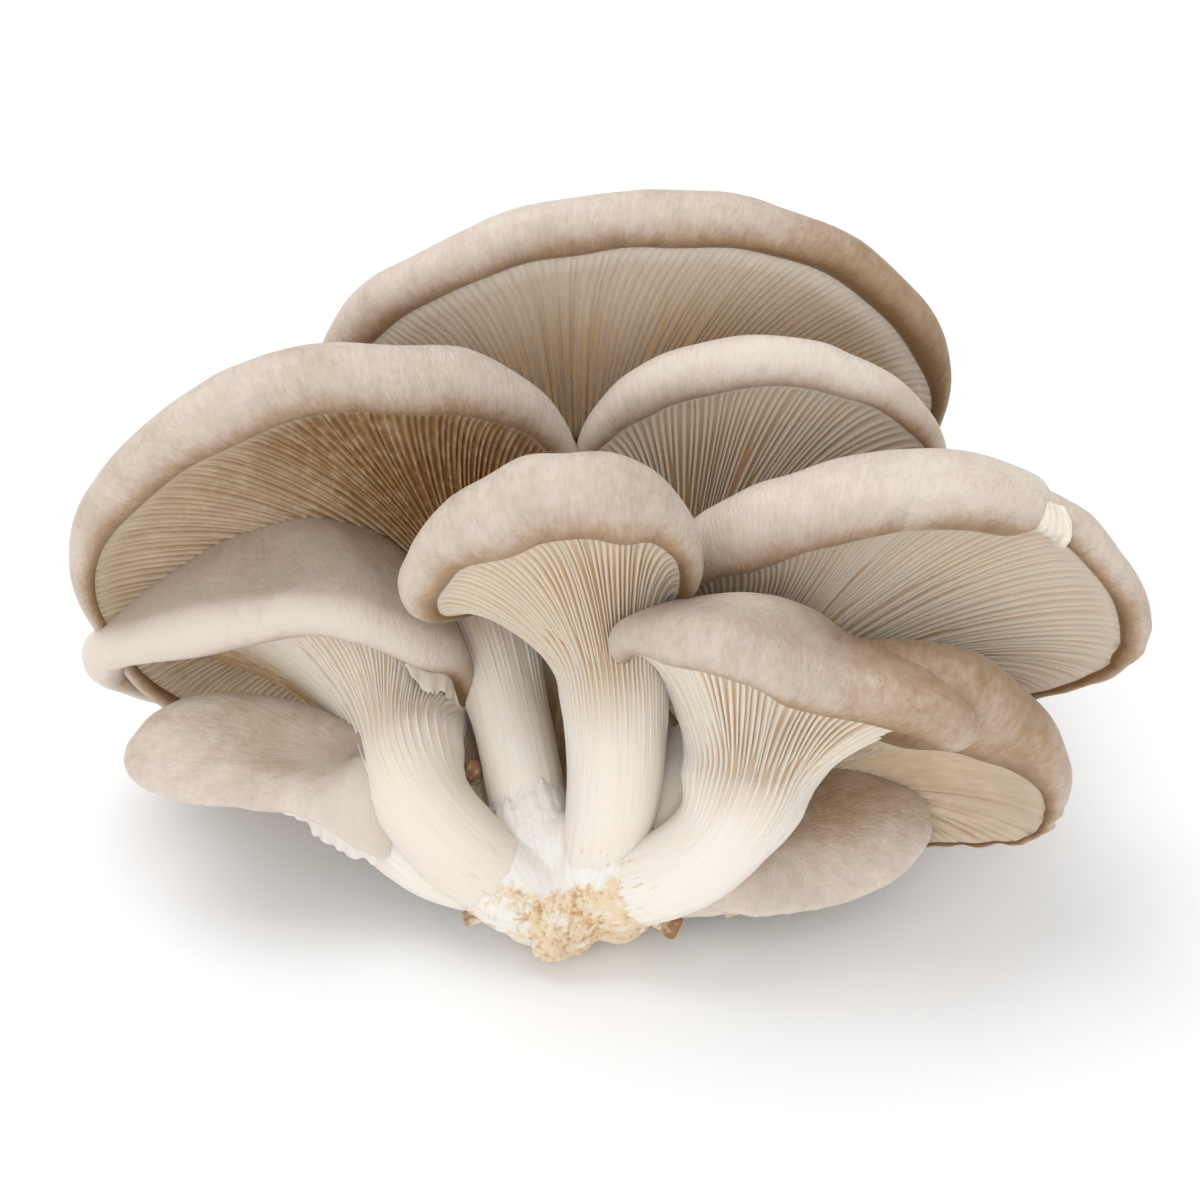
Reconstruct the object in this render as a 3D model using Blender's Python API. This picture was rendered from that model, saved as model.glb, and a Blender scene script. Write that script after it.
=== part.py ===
"""Oyster mushroom cluster, lying on a flat surface.

A fan of twelve fleshy caps on off-centre stems that all grow from one felted base, with two
pinheads and two aborted stubs on the base.  Units are metres in the scene and millimetres in
the tables below.  +Z is up, +X is the long way of the fan, and the base points towards -Y.

Every mushroom is one closed loft around an angle u.  It runs up the stem, opens along the gill
side to the crease under the rim, goes round the rolled rim and closes over the top of the cap.
"""

import bpy
import bmesh
import numpy as np

MM = 0.001
GAP = 0.35              # mm left between neighbours where they press on each other
AROUND = 20             # points around a cap and its stem
STEM_ROWS = 5
GILL_ROWS = 3
ROLL_ROWS = 4
TOP_ROWS = 4
SHIFT = (-0.5, -58.9, 2.4)      # mm, brings the bottom centre of the cluster to the origin

# Each mushroom, in mm:
#   foot, bend, hub   points of the stem's curve; the hub is where the stem meets the cap
#   top, out          which way the skin side faces, and the middle of the fan
#   stem              radii from the foot up to where the gills begin
#   crown             height of the skin over the hub, and its offsets along the fan and sideways
#   rim               (degrees from the middle of the fan, reach, lift, radius of the rolled rim)
#   tune              flare, rise, spread, shoulder (degrees), dome: the fullness of the curves
#   dip, flat         how steeply the gill side meets the rim, and how flat the crown is
MUSHROOMS = {
    "mushroom_left": dict(
        foot=(-17, 12, 11), bend=((-29, 14, 21), (-43, 24, 28)), hub=(-36, 53, 24),
        top=(0.08, 0.87, 0.48), out=(-1, 0.06, 0.05), stem=(8, 9, 9.5, 11.5), crown=(35, 27, -1),
        tune=(0.72, 1.0, 1.05, 402, 1.15), dip=58, flat=1.7,
        rim=((-150, 12, 2, 2), (-110, 18, 3, 2.5), (-75, 27, 3, 2.8), (-45, 41.5, 3, 3),
             (-22, 54, 2, 3), (-8, 60, 1, 3.4), (0, 62.5, 0.5, 4.2), (11, 61, 0.5, 5),
             (22, 54, 0, 5), (38, 45, 1.2, 5), (55, 37, 4, 5), (64, 34, 4, 5), (77, 29, 3, 4.8),
             (94, 22.5, 2, 4.6), (117, 17, 2.5, 4.2), (138, 12, -1, 3.6), (170, 10, 0, 2))),
    "mushroom_front_right": dict(
        foot=(2, 11, 12), bend=((22, 6, 19.5), (28.5, 13, 33)), hub=(28, 27, 35),
        top=(0.22, 0.9, 0.38), out=(0.12, -0.42, 0.9), stem=(8, 8.8, 9.6, 12.5), crown=(23, 3, 13),
        tune=(0.72, 0.7, 0.9, 405, 1.2), dip=35, flat=1.5,
        rim=((-150, 12, 2, 3), (-110, 16, 4, 2), (-80, 23, 5, 2), (-58, 33, 5, 3),
             (-43, 37, 3, 3.8), (-30, 38, 1, 5), (-18, 34.5, 2, 5.4), (-4, 29, 3, 5.5),
             (10, 26, 3, 5.5), (26, 28, 3, 5.5), (38, 34, 3, 5.5), (48, 40, 2, 5.2),
             (58, 41, 3, 4.6), (68, 37, 6, 4), (85, 29, 10, 3.5), (115, 19, 7, 3))),
    "mushroom_centre": dict(
        foot=(-2, 12, 11), bend=((5, 19, 28), (4, 26, 46)), hub=(0, 44.5, 53.5),
        top=(0, 0.99, 0.15), out=(-0.1, -0.15, 0.98), stem=(7, 8.5, 9.5, 10.5), crown=(8, 0, 0),
        tune=(0.72, 0.8, 0.95, 418, 1.0), dip=35, flat=1.1,
        rim=((-170, 9, -4, 2.6), (-135, 10, -2, 2.4), (-115, 12, 1, 2.4), (-95, 16, 3, 2.4),
             (-82, 22, 1, 2.4), (-75, 28, -4, 3), (-68, 33.8, -8, 3.8), (-61, 36.4, -8, 4.2),
             (-51, 37.8, -8, 4.8), (-39, 38.6, -8, 5.8), (-25, 38.3, -8, 7.2), (-9, 39.8, -8, 8),
             (4, 39.5, -8, 8.2), (14, 38, -8, 7.6), (22, 37, -8, 6), (32, 33, -8, 4.4),
             (50, 24, -7, 3.4), (75, 14, -5, 3), (120, 10, -4, 2.6))),
    "mushroom_lower_left": dict(
        foot=(-19, 12, 9), bend=((-31, 12, 10), (-44, 21, 10)), hub=(-49, 30, 27),
        top=(0.04, -0.2, 0.98), out=(-0.99, -0.02, 0.03), stem=(4, 4.5, 5, 5.5), crown=(4.5, -2, 2),
        tune=(0.75, 0.6, 0.9, 408, 1.1), dip=35, flat=1.5,
        rim=((-150, 11, -2, 2.4), (-115, 8.5, -1, 2.2), (-85, 8, 0, 2.2), (-60, 11.5, 0, 2.6),
             (-36, 21.5, 0, 3.2), (-20, 33, 0, 3.8), (-7, 37, 0, 4.2), (4, 37, 0, 4.5),
             (15, 28, 0, 4.3), (26, 19, 0, 4), (50, 12, 0, 3.6), (78, 12, -2.5, 2.4),
             (102, 15, -5.5, 2), (115, 17.5, -7.5, 1.5), (135, 15, -7, 1.8))),
    "mushroom_bottom_right": dict(
        foot=(4, 13, 7), bend=((12, 13, 6.5), (20, 12, 6)), hub=(31, 17, 9),
        top=(-0.12, -0.2, 0.97), out=(0.97, 0.2, 0.1), stem=(4, 4, 4, 4.5), crown=(12, 1, 0),
        tune=(0.72, 0.5, 0.9, 402, 1.2), dip=35, flat=1.5,
        rim=((-160, 13, 6, 1.6), (-115, 10, 4, 1.6), (-70, 9.5, 1, 1.8), (-44, 12.4, -1, 2),
             (-24, 19.5, -1, 2), (-10, 27.5, -1, 2), (4, 33, -1, 2.2), (20, 33, -1, 2.6),
             (38, 31, -1, 3), (58, 28, -1, 3), (80, 24, -1, 3), (110, 18, 2, 2.6),
             (150, 14, 5, 2))),
    "mushroom_lower_right": dict(
        foot=(9, 17, 9), bend=((18, 26, 17), (39, 28, 22)), hub=(44, 42, 14),
        top=(0.22, 0.97, 0.07), out=(0.97, -0.22, 0.06), stem=(5, 6, 6.5, 7.5), crown=(6, 0, 0),
        tune=(0.78, 0.85, 1.0, 418, 1.0), dip=35, flat=1.1,
        rim=((-165, 13, 0, 3), (-120, 15, -3, 4), (-96, 24, -7, 8), (-76, 33, -9, 10),
             (-54, 40, -9, 10.5), (-38, 44.5, -9, 8.6), (-28, 46.8, -9, 6.5), (-15, 48.2, -9, 3.4),
             (-5, 46.8, -9, 1.8), (5, 41.8, -9, 1.1), (15, 29, -9, 1), (25, 21.5, -9, 1),
             (45, 15.8, -8, 1), (90, 14, -6, 2), (150, 13, -2, 3))),
    "mushroom_right": dict(
        foot=(4, 15, 9), bend=((12, 20.5, 18), (17, 34, 28.5)), hub=(40, 58, 35),
        top=(0.15, 0.99, 0.01), out=(0.77, -0.12, 0.63), stem=(7, 8, 9, 11), crown=(8, 0, 0),
        tune=(0.78, 0.85, 1.0, 418, 1.0), dip=35, flat=1.1,
        rim=((-170, 19, -2, 3), (-140, 19, -3, 2.6), (-116, 26, -8, 1.8), (-100, 33, -11, 3.6),
             (-84, 34, -11, 6.2), (-62, 37, -11, 7.8), (-44, 43, -11, 8.4), (-30, 50.5, -11, 8.4),
             (-20, 56, -11, 7.6), (-12, 60, -11, 6.6), (-5, 62.5, -11, 4), (6, 66, -11, 3.3),
             (22, 66, -11, 3), (31, 59, -11, 2.5), (42, 40, -11, 1.2), (60, 26, -10, 1.6),
             (90, 20, -7, 2.5), (135, 19, -4, 3))),
    "mushroom_upper_left": dict(
        foot=(-11, 17, 9), bend=((-15, 27, 22.5), (-17, 48, 35)), hub=(-30, 84, 31),
        top=(-0.22, 0.98, 0.01), out=(-0.53, -0.13, 0.84), stem=(7, 7.5, 8, 10), crown=(8, 0, 0),
        tune=(0.78, 0.85, 1.0, 418, 1.0), dip=35, flat=1.1,
        rim=((-175, 14, -5, 3.5), (-135, 24, -8, 3), (-100, 42, -12, 3), (-70, 61, -14, 2.5),
             (-52, 72, -15, 1.6), (-38, 78.8, -15, 2.6), (-26, 79, -15, 4.6), (-10, 74.9, -15, 6.4),
             (6, 69.9, -15, 7), (20, 62.5, -15, 6.9), (36, 57, -15, 6.3), (52, 49, -15, 4.6),
             (64, 41, -14, 3.4), (90, 28, -11, 3.5), (130, 17, -7, 3.5))),
    "mushroom_upper_right": dict(
        foot=(-3, 18, 7), bend=((8, 38, 14), (18, 63, 28)), hub=(20, 83, 43),
        top=(0.1, 0.99, 0), out=(0.35, -0.04, 0.94), stem=(6, 6.5, 7, 8.5), crown=(7, 0, 0),
        tune=(0.78, 0.85, 1.0, 418, 1.0), dip=35, flat=1.1,
        rim=((-165, 11, -5, 3), (-120, 17, -7, 3), (-90, 24, -9, 2.6), (-66, 32, -10, 2.2),
             (-50, 37, -10, 3.6), (-36, 41, -10, 4.8), (-22, 45, -10, 5.4), (-6, 50, -10, 5),
             (12, 54, -10, 4), (28, 56, -10, 2.7), (40, 54, -10, 1.7), (60, 46, -10, 2),
             (90, 32, -8, 3), (135, 17, -6, 3))),
    "mushroom_back": dict(
        foot=(-8, 18, 7), bend=((-7, 38, 9), (-4, 80, 19)), hub=(-4, 109, 40),
        top=(0, 1, 0.02), out=(0.1, -0.02, 1), stem=(8, 8.5, 9, 11), crown=(9, 0, 0),
        tune=(0.78, 0.85, 1.0, 418, 1.0), dip=35, flat=1.1,
        rim=((-170, 14, -5, 4), (-130, 24, -8, 4), (-100, 37, -11, 4), (-75, 53, -12, 4),
             (-58, 60.5, -12, 4), (-44, 62.5, -12, 5), (-30, 63, -12, 5), (-12, 65.4, -12, 5.5),
             (6, 69.5, -12, 5.5), (22, 75, -12, 5), (40, 79, -12, 4.4), (55, 79, -12, 3.6),
             (68, 75, -12, 1.8), (90, 60, -12, 2.5), (115, 40, -10, 3.5), (145, 22, -7, 4))),
    "mushroom_rear_left": dict(
        foot=(-12, 18, 5), bend=((-24, 46, 7), (-26, 80, 7)), hub=(-54, 111, 15),
        top=(-0.45, 0.88, 0.1), out=(-0.55, -0.2, 0.8), stem=(5, 6.5, 6.5, 7), crown=(6, 0, 0),
        tune=(0.82, 0.85, 1.0, 418, 1.0), dip=35, flat=1.1,
        rim=((-150, 12, -4, 2.5), (-90, 21, -7, 3), (-45, 29, -8, 3.4), (0, 31, -8, 3.6),
             (45, 27, -8, 3.4), (90, 18, -6, 3), (140, 11, -4, 2.5))),
    "mushroom_rear_right": dict(
        foot=(-1, 19, 5), bend=((12, 52, 5), (30, 86, 5)), hub=(54, 113, 13),
        top=(0.4, 0.9, 0.1), out=(0.5, -0.2, 0.84), stem=(4, 4.5, 4.5, 6), crown=(6, 0, 0),
        tune=(0.82, 0.85, 1.0, 418, 1.0), dip=35, flat=1.1,
        rim=((-150, 11, -4, 2.5), (-90, 18, -6, 3), (-45, 25, -7, 3.2), (0, 28, -7, 3.4),
             (45, 26, -7, 3.2), (90, 19, -6, 3), (140, 12, -4, 2.5))),
}

# The felted base, lofted along Y from the tip: (y, centre x, centre z, half width, half height).
BASE_SECTIONS = (
    (0.6, -9, 4.0, 1.8, 1.8), (3.0, -9, 4.2, 4.0, 3.8), (7.0, -8, 5.6, 9.5, 6.4),
    (13.0, -6, 7.2, 15.5, 8.6), (20.0, -5, 8.2, 17, 9.8), (28.0, -4, 9.0, 14, 9.8),
    (34.0, -5, 9.0, 8, 6),
)
BASE_TIPS = ((-9, -1.6, 3.6), (-5, 37, 9))
BASE_AROUND = 20

# Pinheads and stubs: (foot, head, radius at the foot, radius at the neck, radius of the head)
SMALL = {
    "pinhead_left": ((-24, 33, 13), (-25, 32.5, 24), 1.6, 1.1, 2.4),
    "pinhead_right": ((-4.5, 36, 15), (-6, 39, 29), 1.3, 0.9, 1.9),
    "stub_right": ((8.0, 9.0, 7.0), (15.0, 7.2, 4.4), 1.9, 1.5, 2.5),
    "stub_left": ((-20.0, 10.0, 6.5), (-26.0, 8.2, 6.0), 1.4, 1.1, 1.5),
}

COLOURS = {
    "cap": (0.66, 0.54, 0.43, 1), "base": (0.80, 0.74, 0.62, 1), "small": (0.72, 0.60, 0.44, 1),
}


# ---------------------------------------------------------------- curves
def unit(v):
    v = np.asarray(v, float)
    return v / np.linalg.norm(v, axis=-1, keepdims=True)


def around(table, column, u):
    """One column of a rim table as a smooth closed function of the angle u (radians)."""
    rows = np.array(sorted(table), float)
    a, v = np.radians(rows[:, 0]), rows[:, column]
    a = np.concatenate([a[-2:] - 2 * np.pi, a, a[:2] + 2 * np.pi])
    v = np.concatenate([v[-2:], v, v[:2]])
    slope = (v[2:] - v[:-2]) / (a[2:] - a[:-2])
    slope = np.concatenate([slope[:1], slope, slope[-1:]])
    x = np.mod(u - a[2], 2 * np.pi) + a[2]
    k = np.clip(np.searchsorted(a, x, side="right") - 1, 0, len(a) - 2)
    h = a[k + 1] - a[k]
    t = (x - a[k]) / h
    return ((2 * t**3 - 3 * t**2 + 1) * v[k] + (t**3 - 2 * t**2 + t) * h * slope[k]
            + (-2 * t**3 + 3 * t**2) * v[k + 1] + (t**3 - t**2) * h * slope[k + 1])


def bezier(p, t):
    p = np.array(p, float)
    t = np.clip(t, 0, 1)[:, None]
    return ((1 - t)**3 * p[0] + 3 * (1 - t)**2 * t * p[1] + 3 * (1 - t) * t**2 * p[2] + t**3 * p[3])


def hermite(p0, d0, p1, d1, t):
    t = t[:, None, None]
    return ((2 * t**3 - 3 * t**2 + 1) * p0 + (t**3 - 2 * t**2 + t) * d0
            + (-2 * t**3 + 3 * t**2) * p1 + (t**3 - t**2) * d1)


# ---------------------------------------------------------------- lofts
def mushroom_rows(spec, grow=0.0):
    """Rows of points (foot to crown), the foot pole and the crown pole, in mm."""
    u = np.linspace(-np.pi, np.pi, AROUND, endpoint=False)
    hub = np.array(spec["hub"], float)
    n = unit(spec["top"])
    o = np.array(spec["out"], float)
    o = unit(o - (o @ n) * n)
    s = np.cross(n, o)
    out = np.cos(u)[:, None] * o + np.sin(u)[:, None] * s
    reach, lift, roll = (around(spec["rim"], k, u) for k in (1, 2, 3))
    flare, rise, spread, shoulder, dome = spec["tune"]

    # stem: rings square to its curve, carried back from the cap without twist
    spine = [spec["foot"], *spec["bend"], spec["hub"]]
    ts = np.linspace(0, flare, STEM_ROWS)
    centre = bezier(spine, ts)
    along = unit(bezier(spine, ts + 1e-3) - bezier(spine, ts - 1e-3))
    second = np.zeros_like(centre)
    second[-1] = unit(s - (s @ along[-1]) * along[-1])
    for k in range(STEM_ROWS - 2, -1, -1):
        second[k] = unit(second[k + 1] - (second[k + 1] @ along[k]) * along[k])
    first = np.cross(second, along)
    radius = np.interp(ts / flare, np.linspace(0, 1, len(spec["stem"])), spec["stem"])
    ring = centre[:, None] + radius[:, None, None] * (
        np.cos(u)[None, :, None] * first[:, None] + np.sin(u)[None, :, None] * second[:, None])

    # rolled rim, from the crease on the gill side over to the skin
    def on_roll(a):
        return (hub + reach[:, None] * out + lift[:, None] * n
                + roll[:, None] * (np.cos(a) * out + np.sin(a) * n))

    near = np.clip((np.abs(np.degrees(u)) - 95) / 60, 0, 1)     # 1 behind the stem, 0 on the fan
    near = (near**2 * (3 - 2 * near))[:, None]
    a0, a1 = np.radians(200 + 85 * near), np.radians(shoulder)
    crease, edge = on_roll(a0), on_roll(a1)
    d = np.linalg.norm(crease - ring[-1], axis=1)[:, None]
    dip = np.radians(spec["dip"])
    fan_end = (np.cos(dip) * out - np.sin(dip) * n) * d * spread
    near_end = (crease - ring[-1]) * 0.5 + n * d * 0.5
    gills = hermite(ring[-1], along[-1] * d * rise, crease, fan_end * (1 - near) + near_end * near,
                    np.linspace(0, 1, GILL_ROWS + 1)[1:])
    rolled = np.stack([on_roll(a0 + (a1 - a0) * t) for t in np.linspace(0, 1, ROLL_ROWS + 1)[1:]])
    crown = hub + spec["crown"][0] * n + spec["crown"][1] * o + spec["crown"][2] * s
    d = np.linalg.norm(edge - crown, axis=1)[:, None]
    edge_end = (-np.sin(a1) * out + np.cos(a1) * n) * d * dome
    skin = hermite(edge, edge_end, crown, -out * d * spec["flat"],
                   np.linspace(0, 1, TOP_ROWS + 1)[1:-1])
    rows = np.concatenate([ring, gills, rolled, skin])
    return rows, centre[0] - along[0] * radius[0] * 0.5, crown


def base_rows():
    """The lumpy base, ring after ring from its tip."""
    u = np.linspace(-np.pi, np.pi, BASE_AROUND, endpoint=False)
    rows = []
    for k, (y, cx, cz, w, h) in enumerate(BASE_SECTIONS):
        lump = 1 + 0.05 * np.sin(3 * u + 1.3 * k) + 0.04 * np.sin(5 * u - 0.9 * k)
        rows.append(np.stack([cx + w * lump * np.cos(u), np.full(len(u), y),
                              np.maximum(cz + h * lump * np.sin(u), -2.4)], axis=-1))
    return np.array(rows), np.array(BASE_TIPS[0], float), np.array(BASE_TIPS[1], float)


def small_rows(foot, head, r0, r1, r2):
    """A short stalk that swells into a rounded head."""
    foot, head = np.array(foot, float), np.array(head, float)
    w = unit(head - foot)
    a = unit(np.cross(w, (0, 1, 0.3)))
    b = np.cross(w, a)
    u = np.linspace(0, 2 * np.pi, 10, endpoint=False)
    ring = np.cos(u)[:, None] * a + np.sin(u)[:, None] * b
    stations = ((0.0, r0), (0.45, r1), (0.70, r1 * 1.1), (0.82, r2), (0.93, r2 * 0.8))
    rows = np.array([foot + (head - foot) * t + ring * r for t, r in stations])
    return rows, foot - w * r0 * 0.4, head


def loft(name, rows, start, end, collection, colour):
    """One closed mesh object from rings of points and two poles."""
    count, across = rows.shape[:2]
    bm = bmesh.new()
    place = (np.asarray(rows) + np.array(SHIFT)) * MM
    v = [[bm.verts.new(p) for p in row] for row in place.tolist()]
    first = bm.verts.new(((start + np.array(SHIFT)) * MM).tolist())
    last = bm.verts.new(((end + np.array(SHIFT)) * MM).tolist())
    for i in range(across):
        j = (i + 1) % across
        bm.faces.new((first, v[0][j], v[0][i]))
        for k in range(count - 1):
            bm.faces.new((v[k][i], v[k][j], v[k + 1][j], v[k + 1][i]))
        bm.faces.new((last, v[-1][i], v[-1][j]))
    bmesh.ops.recalc_face_normals(bm, faces=bm.faces)
    if bm.calc_volume(signed=True) < 0:
        bmesh.ops.reverse_faces(bm, faces=bm.faces)
    bmesh.ops.triangulate(bm, faces=bm.faces)
    mesh = bpy.data.meshes.new(name)
    bm.to_mesh(mesh)
    bm.free()
    obj = bpy.data.objects.new(name, mesh)
    collection.objects.link(obj)
    material = bpy.data.materials.new(name + "_material")
    material.use_nodes = True
    shader = material.node_tree.nodes["Principled BSDF"]
    shader.inputs["Base Color"].default_value = colour
    shader.inputs["Roughness"].default_value = 0.6
    mesh.materials.append(material)
    return obj


# ---------------------------------------------------------------- fitting neighbours together
def swollen(obj, name, collection):
    """A copy of obj grown by GAP along its normals, kept as a cutter."""
    mesh = obj.data.copy()
    mesh.name = name
    bm = bmesh.new()
    bm.from_mesh(mesh)
    bm.normal_update()
    shell = [(v, v.co + v.normal * GAP * MM * v.calc_shell_factor()) for v in bm.verts]
    for v, co in shell:
        v.co = co
    bm.to_mesh(mesh)
    bm.free()
    cutter = bpy.data.objects.new(name, mesh)
    collection.objects.link(cutter)
    cutter.hide_render = True
    cutter.display_type = "WIRE"
    return cutter


def boxes_meet(a, b):
    """True when the two boxes of (lowest corner, highest corner) share any room."""
    return bool(np.all(a[0] <= b[1]) and np.all(b[0] <= a[1]))


def box(obj):
    co = np.array([v.co[:] for v in obj.data.vertices])
    return co.min(axis=0) - 0.0005, co.max(axis=0) + 0.0005


def trim(obj, cutters):
    """Cut the cutters out of obj and keep its largest piece as one closed body."""
    for cutter in cutters:
        mod = obj.modifiers.new("trim_" + cutter.name, "BOOLEAN")
        mod.operation = "DIFFERENCE"
        mod.solver = "EXACT"
        mod.use_self = True         # a coarse crown may fold over its own crease
        mod.object = cutter
    bpy.context.view_layer.update()
    graph = bpy.context.evaluated_depsgraph_get()
    mesh = bpy.data.meshes.new_from_object(obj.evaluated_get(graph))
    obj.modifiers.clear()
    bm = bmesh.new()
    bm.from_mesh(mesh)
    bmesh.ops.remove_doubles(bm, verts=bm.verts, dist=0.00005)
    seen, pieces = set(), []
    for face in bm.faces:
        if face.index in seen:
            continue
        stack, piece = [face], []
        seen.add(face.index)
        while stack:
            f = stack.pop()
            piece.append(f)
            for edge in f.edges:
                for g in edge.link_faces:
                    if g.index not in seen:
                        seen.add(g.index)
                        stack.append(g)
        pieces.append(piece)
    pieces.sort(key=lambda p: -sum(f.calc_area() for f in p))
    loose = [f for p in pieces[1:] for f in p]
    if loose:
        bmesh.ops.delete(bm, geom=loose, context="FACES")
    bmesh.ops.triangulate(bm, faces=bm.faces)
    bm.to_mesh(mesh)
    bm.free()
    old = obj.data
    obj.data = mesh
    bpy.data.meshes.remove(old)


# ---------------------------------------------------------------- build
def build():
    for obj in list(bpy.data.objects):
        bpy.data.objects.remove(obj)
    parts = bpy.data.collections.new("oyster_mushroom_cluster")
    cutters = bpy.data.collections.new("cutters")
    bpy.context.scene.collection.children.link(parts)
    bpy.context.scene.collection.children.link(cutters)

    made = [loft("base_clump", *base_rows(), parts, COLOURS["base"])]
    for name, spec in MUSHROOMS.items():
        made.append(loft(name, *mushroom_rows(spec), parts, COLOURS["cap"]))
    for name, spec in SMALL.items():
        made.append(loft(name, *small_rows(*spec), parts, COLOURS["small"]))

    # Earlier pieces keep their shape; each later one gives way to those it presses on.
    whole = [(obj, box(obj), swollen(obj, "room_for_" + obj.name, cutters)) for obj in made]
    for k in range(1, len(whole)):
        obj, own, _ = whole[k]
        near = [cutter for _, other, cutter in whole[:k] if boxes_meet(own, other)]
        if near:
            trim(obj, near)


build()
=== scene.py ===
# %% [markdown]
# # An oyster mushroom cluster
#
# A fan of fleshy caps grows from one felted base.  Each mushroom is a stem that opens into a
# gill side, turns over a rolled rim and closes over a silky skin.  This lesson builds every
# mushroom as one mathematical surface, puts real gill blades on it, and finishes it with
# procedural materials.  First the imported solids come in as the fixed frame, and their box is kept.

# %% the frame
import bpy
import numpy as np
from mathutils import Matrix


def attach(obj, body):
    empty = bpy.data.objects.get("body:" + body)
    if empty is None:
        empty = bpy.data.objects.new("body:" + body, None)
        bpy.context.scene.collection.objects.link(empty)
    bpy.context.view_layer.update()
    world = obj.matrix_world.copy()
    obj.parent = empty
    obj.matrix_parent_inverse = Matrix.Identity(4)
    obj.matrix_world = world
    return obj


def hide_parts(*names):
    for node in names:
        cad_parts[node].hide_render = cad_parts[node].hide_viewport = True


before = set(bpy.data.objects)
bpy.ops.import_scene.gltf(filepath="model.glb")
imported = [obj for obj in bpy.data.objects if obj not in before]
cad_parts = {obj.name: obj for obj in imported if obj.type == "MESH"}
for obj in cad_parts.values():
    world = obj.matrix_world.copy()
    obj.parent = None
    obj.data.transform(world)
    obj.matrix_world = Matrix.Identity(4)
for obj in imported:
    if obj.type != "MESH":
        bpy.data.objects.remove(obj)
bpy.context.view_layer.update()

MM = 0.001
SHIFT = np.array((-0.5, -58.9, 2.4))    # mm, from the design's own origin to the frame's

# %% [markdown]
# ## The camera
#
# The cluster lies on its back with the gill sides towards us, and we look down on it from 40
# degrees.  The camera comes first, so that every later step can be judged through it.  A short
# lens close by would make the near caps look huge, so this one is long and stands more than half
# a metre away.

# %% camera
aim = np.array((-0.5, 9.7, 37.5))
distance, elevation = 570.0, np.radians(40)
eye = aim + distance * np.array((0, -np.cos(elevation), np.sin(elevation)))
camera = bpy.data.objects.new("camera", bpy.data.cameras.new("camera"))
camera.data.lens = 85
camera.data.sensor_width = 36
camera.data.clip_start = 0.01
camera.location = eye * MM
camera.rotation_euler = (np.pi / 2 - elevation, 0, 0)
bpy.context.scene.collection.objects.link(camera)
bpy.context.scene.camera = camera
print("camera stands at (mm):", np.round(eye, 1))

# %% [markdown]
# ## The design of each mushroom
#
# A mushroom could be sculpted by hand, but a table of the few sizes that a grower would measure
# is easier to read and to change.  The stem is a smooth curve from its foot to the hub, where it
# meets the cap.  The rim is a list of stations around the cap: how far it reaches from the hub,
# how much it lifts towards the skin side, and how thick its rolled margin is.

# %% the design table (mm and degrees)
# foot, bend, hub: the stem's curve.  top: where the skin faces.  out: the middle of the fan.
# stem: radii from the foot to the gills.  crown: height of the skin over the hub, then its
# offsets along the fan and sideways.  tune: flare, rise, spread, shoulder (degrees), dome.
# gills: gills that reach the stem, and blades at the rim for each of them.
# blade: height of the blades.  rows: along the stem, along the gills, over the skin.
# dip, flat: how steeply the gill side meets the rim (degrees), and how flat the crown is.
# tone: how brown the skin is, more at the crown, and an angle, width and extra for one side; the
# one-sided extra is partly painted light and shade.  cream, stem_tone: how brown the gills and
# the stem are, set per mushroom partly to stand in for the light that falls on them, so partly
# painted light and shade.  shade: an angle, width and amount of painted shade on the gills of one
# side.  hollow: painted shade deep between the stems.  contrast: how much darker the valleys
# between the blades are painted, as shade.
# rim: degrees from the middle of the fan, reach, lift, radius of the rolled margin.
# What a mushroom doesn't say is taken from USUAL.
USUAL = dict(tune=(0.78, 0.85, 1.0, 418, 1.0), dip=35, flat=1.1, tone=(0.24, 0.2, 0, 60, 0.0),
             cream=0.2, stem_tone=0.35, shade=(0, 60, 0.0), hollow=0.0, contrast=1.0)
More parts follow.
